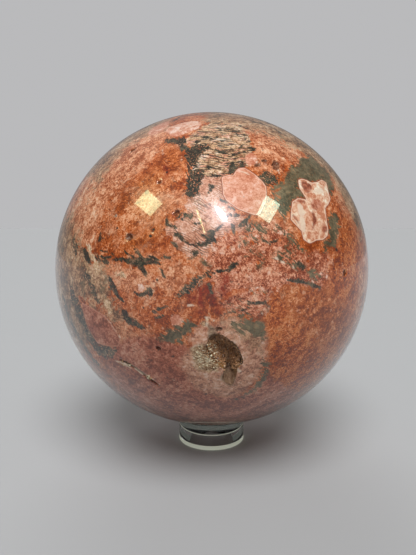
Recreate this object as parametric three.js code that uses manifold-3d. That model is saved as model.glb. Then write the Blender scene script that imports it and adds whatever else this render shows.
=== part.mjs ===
// A large polished calcite sphere with a crystal-lined hollow, resting on a clear ring stand.
// Millimetres, +Z up. The origin is the centre of the ring's underside, and the hollow faces -Y.

import * as THREE from "three";
import { mergeVertices } from "three/addons/utils/BufferGeometryUtils.js";
import Module from "manifold-3d";

const wasm = await Module();
wasm.setup();

// The polished sphere
const SPHERE_RADIUS = 63.5;
const SPHERE_AROUND = 56;
const SPHERE_DOWN = 36;

// The ring stand: a short thick tube with a bevelled seat
const RING_RADIUS = 14;
const RING_HEIGHT = 11;
const BORE_RADIUS = 9.4;
const SEAT_RADIUS = 12.2;
const SEAT_DEPTH = 5.8;
const RING_EDGE = 0.5;
const RING_AROUND = 64;
const SEAT_GAP = 0.15;

const SPHERE_CENTRE_Z = RING_HEIGHT + Math.sqrt(SPHERE_RADIUS ** 2 - SEAT_RADIUS ** 2) + SEAT_GAP;

// The hollow: its rim as [right, up] on the plane that touches the sphere at its middle
const HOLLOW = { azimuth: 4, elevation: -21, depth: 5.2, steps: 6, around: 40, deepest: [1.2, 0.6] };
const HOLLOW_RIM = [
  [-5.0, 8.4],
  [-2.2, 8.6],
  [0.6, 6.8],
  [3.2, 4.4],
  [4.9, 0.6],
  [5.5, -2.3],
  [3.8, -4.2],
  [3.5, -7.8],
  [2.2, -12.0],
  [-0.6, -9.0],
  [-0.5, -4.6],
  [-3.4, -2.4],
  [-5.8, 0.6],
  [-6.2, 4.0],
];

// The crystal crust that lines the hollow
const CRUST_GAP = 0.3;
const CRUST_THICKNESS = 0.9;
const CRUST_BELOW_POLISH = 0.5;
const CRYSTALS = 44;
const CRYSTAL_RADIUS = [0.5, 1.05];
const CRYSTAL_SHAFT = [0.4, 1.0];
const CRYSTAL_TIP = [0.8, 1.6];
const CRYSTAL_RANGES = [CRYSTAL_RADIUS, CRYSTAL_SHAFT, CRYSTAL_TIP];
const SMALLEST_CRYSTAL = 0.6;

// The crack: [azimuth, elevation, width] along its line
const CRACK_DEPTH = 1.6;
const CRACK = [
  [-32.5, -23.8, 0.2],
  [-29.4, -25.0, 1.1],
  [-26.6, -26.3, 0.8],
  [-24.0, -28.4, 1.0],
  [-21.4, -30.8, 0.9],
  [-18.6, -33.6, 0.2],
];

// Small pits: [azimuth, elevation, long radius, short radius, depth, turn in degrees]
const PITS = [
  [23.6, 36.6, 2.1, 1.2, 1.5, 70],
  [16.2, 36.4, 1.3, 0.7, 0.9, 20],
  [19.4, 38.2, 0.9, 0.7, 0.8, 0],
  [-19.7, 18.9, 1.2, 1.0, 1.0, 0],
  [-17.9, 30.1, 0.9, 0.6, 0.7, 40],
  [-10.6, 20.6, 1.1, 0.8, 0.8, 30],
  [1.7, -11.8, 0.9, 0.6, 0.9, 10],
  [-16.5, -18.4, 0.8, 0.7, 0.7, 0],
  [-36.5, 44.0, 1.0, 0.7, 0.8, 15],
  [44.0, 2.5, 0.9, 0.7, 0.8, 60],
  [84.0, 24.0, 2.4, 1.3, 1.4, 35],
  [112.0, -14.0, 1.5, 1.0, 1.0, 80],
  [138.0, 34.0, 1.2, 0.9, 0.9, 0],
  [163.0, 6.0, 3.0, 1.7, 1.8, 25],
  [171.0, 9.5, 1.3, 0.9, 1.0, 50],
  [-152.0, -24.0, 1.8, 1.1, 1.2, 65],
  [-128.0, 18.0, 1.2, 0.8, 0.9, 10],
  [-96.0, 41.0, 1.9, 1.0, 1.2, 120],
  [-78.0, -12.0, 1.1, 0.8, 0.8, 45],
];
const PIT_LUMPINESS = 0.16;
const POLE_TO_Z = Math.PI / 2;

// A repeatable stream of numbers from 0 to 1.
function numberStream(seed) {
  let state = seed;
  return () => {
    state = (Math.imul(state, 1664525) + 1013904223) >>> 0;
    return state / 2 ** 32;
  };
}

function between([low, high], share) {
  return low + (high - low) * share;
}

// Unit vector from the sphere's centre: azimuth 0 is -Y, and positive turns towards +X.
function direction(azimuth, elevation) {
  const a = THREE.MathUtils.degToRad(azimuth);
  const e = THREE.MathUtils.degToRad(elevation);
  return new THREE.Vector3(Math.sin(a) * Math.cos(e), -Math.cos(a) * Math.cos(e), Math.sin(e));
}

// The sphere's own right, up and outward axes at a place on its surface.
function surfaceAxes(azimuth, elevation) {
  const out = direction(azimuth, elevation);
  const right = new THREE.Vector3(-out.y, out.x, 0).normalize();
  const up = new THREE.Vector3().crossVectors(out, right);
  return { right, up, out };
}

// A point at a depth below the polish, reached from [right, up] on the touching plane.
function below({ right, up, out }, x, y, depth) {
  return new THREE.Vector3()
    .addScaledVector(right, x)
    .addScaledVector(up, y)
    .addScaledVector(out, SPHERE_RADIUS)
    .setLength(SPHERE_RADIUS - depth);
}

function toSolid(geometry) {
  const bare = geometry.index ? geometry.toNonIndexed() : geometry.clone();
  bare.deleteAttribute("normal");
  bare.deleteAttribute("uv");
  const merged = mergeVertices(bare, 1e-4);
  const mesh = new wasm.Mesh({
    numProp: 3,
    vertProperties: new Float32Array(merged.attributes.position.array),
    triVerts: new Uint32Array(merged.index.array),
  });
  return new wasm.Manifold(mesh);
}

function toGeometry(solid) {
  const { vertProperties, triVerts, numProp } = solid.getMesh();
  const positions = new Float32Array((vertProperties.length / numProp) * 3);
  for (let i = 0; i < positions.length / 3; i++) {
    positions.set(vertProperties.subarray(i * numProp, i * numProp + 3), i * 3);
  }
  const geometry = new THREE.BufferGeometry();
  geometry.setAttribute("position", new THREE.BufferAttribute(positions, 3));
  geometry.setIndex(new THREE.BufferAttribute(new Uint32Array(triVerts), 1));
  geometry.computeVertexNormals();
  return geometry;
}

function ballSolid(radius) {
  const ball = new THREE.SphereGeometry(radius, SPHERE_AROUND, SPHERE_DOWN);
  return toSolid(ball.rotateX(POLE_TO_Z));
}

// A closed bowl from rings of points: the first ring is its mouth and the last shrinks to a point.
function bowlSolid(rings, mouthCentre, floorCentre) {
  const around = rings[0].length;
  const positions = [mouthCentre, ...rings.flat(), floorCentre].flatMap((p) => [p.x, p.y, p.z]);
  const index = [];
  const floor = 1 + rings.length * around;
  for (let i = 0; i < around; i++) {
    const next = (i + 1) % around;
    index.push(0, 1 + i, 1 + next);
    for (let r = 0; r < rings.length - 1; r++) {
      const upper = 1 + r * around;
      const lower = upper + around;
      index.push(upper + i, lower + i, lower + next, upper + i, lower + next, upper + next);
    }
    const last = floor - around;
    index.push(last + i, floor, last + next);
  }
  const geometry = new THREE.BufferGeometry();
  geometry.setAttribute("position", new THREE.Float32BufferAttribute(positions, 3));
  geometry.setIndex(index);
  return toSolid(geometry);
}

const hollowAxes = surfaceAxes(HOLLOW.azimuth, HOLLOW.elevation);
const hollowRim = new THREE.CatmullRomCurve3(
  HOLLOW_RIM.map(([x, y]) => new THREE.Vector3(x, y, 0)),
  true,
);

// A point on the hollow's wall: around and down go from 0 to 1, and inset moves it into the hollow.
function hollowWall(around, down, inset) {
  const rim = hollowRim.getPoint(around);
  const deepest = new THREE.Vector3(...HOLLOW.deepest, 0);
  const inwards = deepest.clone().sub(rim);
  const reach = inwards.length();
  const share = Math.min(1, (inset + Math.max(down, 0) * (reach - inset)) / reach);
  const plan = rim.clone().addScaledVector(inwards, down < 0 ? inset / reach : share);
  const lumps = 0.35 * Math.sin(9 * Math.PI * around + 5 * down) * Math.sin(Math.PI * Math.max(down, 0));
  const depth = HOLLOW.depth * Math.sin((Math.PI / 2) * Math.max(down, 0)) ** 0.75 + lumps;
  return below(hollowAxes, plan.x, plan.y, down < 0 ? -1.5 : Math.max(depth - inset, 0));
}

function hollowSolid(inset) {
  const ring = (down) =>
    Array.from({ length: HOLLOW.around }, (_, i) => hollowWall(-i / HOLLOW.around + 1, down, inset));
  const rings = [ring(-1)];
  for (let step = 0; step < HOLLOW.steps; step++) {
    rings.push(ring(step / HOLLOW.steps));
  }
  const mouthCentre = below(hollowAxes, ...HOLLOW.deepest, -2);
  const floorCentre = below(hollowAxes, ...HOLLOW.deepest, HOLLOW.depth - inset);
  return bowlSolid(rings, mouthCentre, floorCentre);
}

// A lumpy flattened ball that bites a pit out of the polish.
function pitSolid([azimuth, elevation, long, short, depth, turn], number) {
  const geometry = new THREE.IcosahedronGeometry(1, 1);
  const { right, up, out } = surfaceAxes(azimuth, elevation);
  const spot = new THREE.Vector3();
  const places = geometry.attributes.position;
  for (let i = 0; i < places.count; i++) {
    spot.fromBufferAttribute(places, i);
    const lump = Math.sin(5 * spot.x + number) * Math.sin(4 * spot.y + 2 * number);
    spot.multiplyScalar(1 + PIT_LUMPINESS * lump);
    places.setXYZ(i, spot.x, spot.y, spot.z);
  }
  geometry.scale(long, short, depth);
  geometry.rotateZ(THREE.MathUtils.degToRad(turn));
  const centre = out.clone().multiplyScalar(SPHERE_RADIUS);
  geometry.applyMatrix4(new THREE.Matrix4().makeBasis(right, up, out).setPosition(centre));
  return toSolid(geometry);
}

// A V-shaped groove along the crack's line, narrowing to nothing at both ends.
function crackSolid() {
  const stations = CRACK.map(([azimuth, elevation, width], i) => {
    const before = direction(...CRACK[Math.max(i - 1, 0)]);
    const after = direction(...CRACK[Math.min(i + 1, CRACK.length - 1)]);
    const out = direction(azimuth, elevation);
    const side = new THREE.Vector3().crossVectors(after.sub(before), out).setLength(width / 2);
    const lip = out.clone().multiplyScalar(SPHERE_RADIUS + 0.6);
    const depth = CRACK_DEPTH * Math.min(1, width);
    return [lip.clone().add(side), lip.clone().sub(side), out.multiplyScalar(SPHERE_RADIUS - depth)];
  });
  const index = [0, 1, 2];
  for (let s = 0; s < stations.length - 1; s++) {
    for (let k = 0; k < 3; k++) {
      const a = 3 * s + k;
      const b = 3 * s + ((k + 1) % 3);
      index.push(a, b + 3, b, a, a + 3, b + 3);
    }
  }
  const end = 3 * (stations.length - 1);
  index.push(end, end + 2, end + 1);
  const geometry = new THREE.BufferGeometry();
  const positions = stations.flat().flatMap((p) => [p.x, p.y, p.z]);
  geometry.setAttribute("position", new THREE.Float32BufferAttribute(positions, 3));
  geometry.setIndex(index);
  return toSolid(geometry);
}

function stoneGeometry() {
  let stone = ballSolid(SPHERE_RADIUS).subtract(hollowSolid(0)).subtract(crackSolid());
  PITS.forEach((pit, number) => {
    stone = stone.subtract(pitSolid(pit, number));
  });
  return toGeometry(stone);
}

// One six-sided crystal with a pointed end, standing along +Y from its root.
function crystalGeometry(radius, shaft, tip) {
  const profile = [
    new THREE.Vector2(0, -0.4),
    new THREE.Vector2(radius, -0.4),
    new THREE.Vector2(radius, shaft),
    new THREE.Vector2(0, shaft + tip),
  ];
  return new THREE.LatheGeometry(profile, 6);
}

function crustGeometry() {
  const pocket = hollowSolid(CRUST_GAP);
  let crust = pocket.subtract(hollowSolid(CRUST_GAP + CRUST_THICKNESS));
  const next = numberStream(11);
  const goldenShare = 0.618034;
  const aim = below(hollowAxes, ...HOLLOW.deepest, -6);
  for (let i = 0; i < CRYSTALS; i++) {
    const down = 0.3 + 0.7 * Math.sqrt((i + 0.5) / CRYSTALS);
    const root = hollowWall((i * goldenShare) % 1, down, CRUST_GAP + CRUST_THICKNESS);
    const lean = new THREE.Vector3(next() - 0.5, next() - 0.5, next() - 0.5);
    const axis = aim.clone().sub(root).normalize().addScaledVector(lean, 0.7).normalize();
    const room = SPHERE_RADIUS - CRUST_BELOW_POLISH - root.length();
    const [radius, shaft, tip] = CRYSTAL_RANGES.map((range) => between(range, next()));
    const fit = Math.min(1, room / (shaft + tip));
    const crystal = crystalGeometry(radius * Math.max(fit, SMALLEST_CRYSTAL), shaft * fit, tip * fit);
    crystal.rotateY(Math.PI * next());
    crystal.applyQuaternion(new THREE.Quaternion().setFromUnitVectors(new THREE.Vector3(0, 1, 0), axis));
    crystal.translate(root.x, root.y, root.z);
    crust = crust.add(toSolid(crystal));
  }
  crust = crust.intersect(pocket).intersect(ballSolid(SPHERE_RADIUS - CRUST_BELOW_POLISH));
  const [largest] = crust.decompose().sort((a, b) => b.volume() - a.volume());
  return toGeometry(largest);
}

function ringGeometry() {
  const profile = [
    [BORE_RADIUS + RING_EDGE, 0],
    [RING_RADIUS - RING_EDGE, 0],
    [RING_RADIUS, RING_EDGE],
    [RING_RADIUS, RING_HEIGHT - RING_EDGE],
    [RING_RADIUS - RING_EDGE, RING_HEIGHT],
    [SEAT_RADIUS, RING_HEIGHT],
    [BORE_RADIUS, RING_HEIGHT - SEAT_DEPTH],
    [BORE_RADIUS, RING_EDGE],
    [BORE_RADIUS + RING_EDGE, 0],
  ];
  const outline = profile.map(([radius, height]) => new THREE.Vector2(radius, height));
  return new THREE.LatheGeometry(outline, RING_AROUND).rotateX(POLE_TO_Z);
}

function namedMesh(name, geometry, look) {
  const mesh = new THREE.Mesh(geometry, new THREE.MeshStandardMaterial(look));
  mesh.name = name;
  return mesh;
}

const stoneLook = { color: 0xb0694c, roughness: 0.12, metalness: 0 };
const crystalLook = { color: 0x6b5334, roughness: 0.3, metalness: 0, flatShading: true };
const ringLook = { color: 0xe9eef0, roughness: 0.05, metalness: 0, transparent: true, opacity: 0.35 };

const stone = new THREE.Group();
stone.position.z = SPHERE_CENTRE_Z;
stone.add(namedMesh("calcite_sphere", stoneGeometry(), stoneLook));
stone.add(namedMesh("vug_crystals", crustGeometry(), crystalLook));

const model = new THREE.Group();
model.add(stone);
model.add(namedMesh("ring_stand", ringGeometry(), ringLook));

export default model;
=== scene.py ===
"""A polished ball of mottled calcite with a crystal-lined hollow, resting on a clear ring.

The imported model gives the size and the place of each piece, and this script gives each its fine
surface. The ball's patches, veins and spots are signed distances in millimetres over its surface,
positive inside. They are kept on the mesh as attributes, and the stone's material roughens them
with noise and cuts them into crisp shapes.
"""

import logging
import math
from dataclasses import dataclass
from enum import Enum

import bpy
import numpy as np
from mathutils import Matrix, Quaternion, Vector


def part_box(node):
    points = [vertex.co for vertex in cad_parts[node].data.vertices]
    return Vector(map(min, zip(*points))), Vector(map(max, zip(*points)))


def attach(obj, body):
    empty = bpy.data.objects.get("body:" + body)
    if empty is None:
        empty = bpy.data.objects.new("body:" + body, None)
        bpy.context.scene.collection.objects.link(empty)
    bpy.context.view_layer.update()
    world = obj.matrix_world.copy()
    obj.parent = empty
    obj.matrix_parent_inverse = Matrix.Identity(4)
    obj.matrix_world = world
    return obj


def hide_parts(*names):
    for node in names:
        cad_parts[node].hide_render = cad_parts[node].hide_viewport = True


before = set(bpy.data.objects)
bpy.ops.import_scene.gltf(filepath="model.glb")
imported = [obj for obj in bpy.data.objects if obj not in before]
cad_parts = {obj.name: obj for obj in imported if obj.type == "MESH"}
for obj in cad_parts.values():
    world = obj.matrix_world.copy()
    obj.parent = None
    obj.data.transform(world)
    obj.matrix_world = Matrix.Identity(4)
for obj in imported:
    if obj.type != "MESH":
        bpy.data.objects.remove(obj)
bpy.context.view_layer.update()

log = logging.getLogger("calcite")

MM = 0.001
Points = tuple[tuple[float, ...], ...]
Colour = tuple[float, float, float]
Triple = tuple[float, float, float]
Span = tuple[float, float]
Pair = tuple[float, float]
Socket = bpy.types.NodeSocket
Value = Socket | float | Colour

# The ball's radius and how far distances to its shapes reach, in millimetres
BALL_RADIUS = 63.5
FIELD_LIMIT = 8.0


def srgb(red: int, green: int, blue: int) -> Colour:
    """Turns a colour as seen on a screen, 0 to 255, into the linear values that a shader takes.

    Args:
        red: 0 to 255.
        green: 0 to 255.
        blue: 0 to 255.

    Returns:
        The linear colour.
    """
    shares = np.array([red, green, blue]) / 255
    linear = np.where(shares <= 0.04045, shares / 12.92, ((shares + 0.055) / 1.055) ** 2.4)
    return tuple(float(x) for x in linear)


def unit(vectors: np.ndarray) -> np.ndarray:
    """Each vector divided by its own length."""
    return vectors / np.linalg.norm(vectors, axis=-1, keepdims=True)


def towards(azimuth: float, elevation: float) -> np.ndarray:
    """Unit vector from the ball's centre: azimuth 0 is -Y and positive turns towards +X."""
    a, e = math.radians(azimuth), math.radians(elevation)
    return np.array([math.sin(a) * math.cos(e), -math.cos(a) * math.cos(e), math.sin(e)])


def smooth_step(value: np.ndarray, low: float, high: float) -> np.ndarray:
    """0 below low, 1 above high, and the cubic 3t squared minus 2t cubed between them."""
    t = np.clip((value - low) / (high - low), 0, 1)
    return t * t * (3 - 2 * t)


@dataclass(frozen=True)
class PhotoView:
    """The photograph's camera, in millimetres and in pixels of its 416 by 555 frame."""

    place: tuple[float, float, float] = (-1.5, -211.4, 91.1)
    tilt_down: float = 5.677
    focal: float = 500.0
    width: int = 416
    height: int = 555
    sensor: float = 36.0

    def axes(self) -> tuple[np.ndarray, np.ndarray, np.ndarray]:
        """The camera's right, up and forward axes.

        Returns:
            Three unit vectors.
        """
        p = math.radians(self.tilt_down)
        right = np.array([1.0, 0.0, 0.0])
        up = np.array([0.0, math.sin(p), math.cos(p)])
        forward = np.array([0.0, math.cos(p), -math.sin(p)])
        return right, up, forward

    def on_ball(self, pixels: np.ndarray, centre: np.ndarray) -> np.ndarray:
        """Where the lines of sight through some pixels meet the ball.

        Args:
            pixels: an array of pixel places, two columns.
            centre: the ball's centre.

        Returns:
            Unit vectors from the ball's centre. A pixel just outside the ball falls on its limb.
        """
        right, up, forward = self.axes()
        u = (pixels[:, :1] - self.width / 2) / self.focal
        v = (pixels[:, 1:2] - self.height / 2) / self.focal
        ray = unit(forward + u * right - v * up)
        start = np.array(self.place) - centre
        along = -(ray @ start)
        inside = along**2 - start @ start + BALL_RADIUS**2
        reach = along - np.sqrt(np.maximum(inside, 0))
        return unit(start + reach[:, None] * ray)

    def facing(self, directions: np.ndarray, centre: np.ndarray) -> np.ndarray:
        """Angle in degrees between each direction and the line from the ball to the camera."""
        to_camera = unit(np.array(self.place) - centre)
        return np.degrees(np.arccos(np.clip(directions @ to_camera, -1, 1)))

    def build(self) -> None:
        """Makes the scene's camera."""
        data = bpy.data.cameras.new("photo_camera")
        data.sensor_width = self.sensor
        data.lens = self.sensor * self.focal / self.height
        data.clip_start = 0.01
        camera = bpy.data.objects.new("photo_camera", data)
        camera.location = [x * MM for x in self.place]
        camera.rotation_euler = (math.radians(90 - self.tilt_down), 0, 0)
        bpy.context.scene.collection.objects.link(camera)
        bpy.context.scene.camera = camera


class Chart:
    """Flat coordinates in millimetres around one place on the ball.

    A direction at an angle from the chart's middle lies at that angle times the ball's radius,
    on the same bearing, so that small shapes keep their size.
    """

    def __init__(self, middle: np.ndarray) -> None:
        """Sets up the chart's axes.

        Args:
            middle: any vector towards the chart's middle.
        """
        self.out = unit(middle)
        side = np.array([-self.out[1], self.out[0], 0.0])
        self.right = unit(side) if np.linalg.norm(side) > 1e-6 else np.array([1.0, 0, 0])
        self.up = np.cross(self.out, self.right)

    def flatten(self, directions: np.ndarray) -> np.ndarray:
        """Chart places of some directions, two columns in millimetres.

        Args:
            directions: unit vectors from the ball's centre, three columns.

        Returns:
            The chart places.
        """
        angle = np.arccos(np.clip(directions @ self.out, -1, 1))
        flat = np.stack([directions @ self.right, directions @ self.up], axis=1)
        length = np.maximum(np.linalg.norm(flat, axis=1), 1e-9)
        return flat * (angle * BALL_RADIUS / length)[:, None]

    def touching(self, directions: np.ndarray) -> np.ndarray:
        """Places where the directions cut the plane that touches the ball at the middle.

        Args:
            directions: unit vectors from the ball's centre, three columns.

        Returns:
            The places, two columns in millimetres.
        """
        depth = np.maximum(directions @ self.out, 0.2)
        flat = np.stack([directions @ self.right, directions @ self.up], axis=1)
        return flat * (BALL_RADIUS / depth)[:, None]


def turned(azimuth: float, elevation: float, spin: float) -> np.ndarray:
    """Rotation that carries the front of the ball to another side of it.

    Args:
        azimuth: where the front goes, degrees.
        elevation: where the front goes, degrees.
        spin: turn around that place, degrees.

    Returns:
        A 3 by 3 rotation matrix.
    """
    chart = Chart(towards(azimuth, elevation))
    s = math.radians(spin)
    right = math.cos(s) * chart.right + math.sin(s) * chart.up
    up = math.cos(s) * chart.up - math.sin(s) * chart.right
    return np.stack([right, -chart.out, up], axis=1)


def line_field(places: np.ndarray, path: np.ndarray, halves: np.ndarray) -> np.ndarray:
    """Half width minus distance to a line, for the nearest of its stretches.

    Args:
        places: where to measure, two columns.
        path: the line's points, two columns.
        halves: the line's half width at each point.

    Returns:
        The field, positive inside the line's width.
    """
    best = np.full(len(places), -FIELD_LIMIT)
    for a, b, from_half, to_half in zip(path[:-1], path[1:], halves[:-1], halves[1:]):
        step = b - a
        share = np.clip((places - a) @ step / max(step @ step, 1e-9), 0, 1)
        gap = np.linalg.norm(places - a - share[:, None] * step, axis=1)
        best = np.maximum(best, from_half + share * (to_half - from_half) - gap)
    return best


def area_field(places: np.ndarray, outline: np.ndarray) -> np.ndarray:
    """Distance to a closed outline, positive inside it by the even-odd rule.

    Args:
        places: where to measure, two columns.
        outline: its corners, two columns.

    Returns:
        The field, in the places' unit.
    """
    ahead = np.roll(outline, -1, axis=0)
    inside = np.zeros(len(places), bool)
    for (ax, ay), (bx, by) in zip(outline, ahead):
        spans = (ay > places[:, 1]) != (by > places[:, 1])
        height = by - ay if by != ay else 1e-9
        crossing = ax + (places[:, 1] - ay) * (bx - ax) / height
        inside ^= spans & (places[:, 0] < crossing)
    closed = np.vstack([outline, outline[:1]])
    gap = -line_field(places, closed, np.zeros(len(closed)))
    return np.where(inside, gap, -gap)


@dataclass(frozen=True)
class Area:
    """A closed patch on the ball: its outline in pixels of the photograph."""

    points: Points

    def field(self, directions: np.ndarray, centre: np.ndarray, view: PhotoView) -> np.ndarray:
        """Signed distance in millimetres to the patch, positive inside.

        Args:
            directions: unit vectors from the ball's centre, three columns.
            centre: the ball's centre, in millimetres.
            view: the photograph's camera.

        Returns:
            The field, cut off at its limit.
        """
        corners = view.on_ball(np.array(self.points), centre)
        chart = Chart(corners.mean(axis=0))
        outline = chart.flatten(corners)
        near, values = nearby(directions, chart, np.abs(outline).max() * 1.5)
        values[near] = area_field(chart.flatten(directions[near]), outline)
        return np.clip(values, -FIELD_LIMIT, FIELD_LIMIT)


@dataclass(frozen=True)
class Line:
    """A vein or spot on the ball: pixels of the photograph, each with a width in millimetres."""

    points: Points

    def field(self, directions: np.ndarray, centre: np.ndarray, view: PhotoView) -> np.ndarray:
        """Signed distance in millimetres to the line's edge, positive inside its width.

        Args:
            directions: unit vectors from the ball's centre, three columns.
            centre: the ball's centre, in millimetres.
            view: the photograph's camera.

        Returns:
            The field, cut off at its limit.
        """
        rows = np.array(self.points if len(self.points) > 1 else self.points * 2)
        stations = view.on_ball(rows[:, :2], centre)
        chart = Chart(stations.mean(axis=0))
        path = chart.flatten(stations)
        near, values = nearby(directions, chart, np.abs(path).max() * 1.5)
        values[near] = line_field(chart.flatten(directions[near]), path, rows[:, 2] / 2)
        return np.clip(values, -FIELD_LIMIT, FIELD_LIMIT)


def nearby(directions: np.ndarray, chart: Chart, reach: float) -> tuple[np.ndarray, np.ndarray]:
    """Which directions lie within reach of a chart's middle, and a field that is far outside."""
    limit = min((reach + FIELD_LIMIT) / BALL_RADIUS, math.pi)
    return directions @ chart.out > math.cos(limit), np.full(len(directions), -FIELD_LIMIT)


class Layer(Enum):
    """The kinds of patch that the stone's material tells apart, by the mesh attribute's name."""

    TAN = "tan_streaks"
    SALMON = "salmon_base"
    BRECCIA = "breccia"
    HALO = "pale_halo"
    TANNED = "tanned_halo"
    LAMELLAR = "lamellar"
    PINK = "pink_smooth"
    STAIN = "red_stain"
    RUST = "golden_rust"
    MATRIX = "grey_matrix"
    VEIN = "grey_veins"
    OLIVE = "olive_matrix"
    FLAME = "orange_flames"
    BROWN = "brown_patch"
    COBBLE = "cobble"
    BLOTCH = "blotch"
    BLOTCH_BROWN = "blotch_brown"
    PALE_AND_GLINTS = "pale_grains_and_glints"
    SPOT = "dark_spots"
    GRANULAR = "granular"
    PEACH = "peach_rock"
    CREAM = "cream_patches"
    SEAM_GLINT = "crack_glint_line"
    CHIP = "chipped_place"
    TONGUE = "hollow_tongue"
    WALL_SHADE = "hollow_wall_shade"
    HOLLOW = "hollow_depth"
    DEPTH = "broken_depth"


def areas(*outlines: Points) -> tuple[Area, ...]:
    """A closed patch for each outline."""
    return tuple(Area(outline) for outline in outlines)


def lines(*paths: Points) -> tuple[Line, ...]:
    """A vein or spot for each path."""
    return tuple(Line(path) for path in paths)


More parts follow.
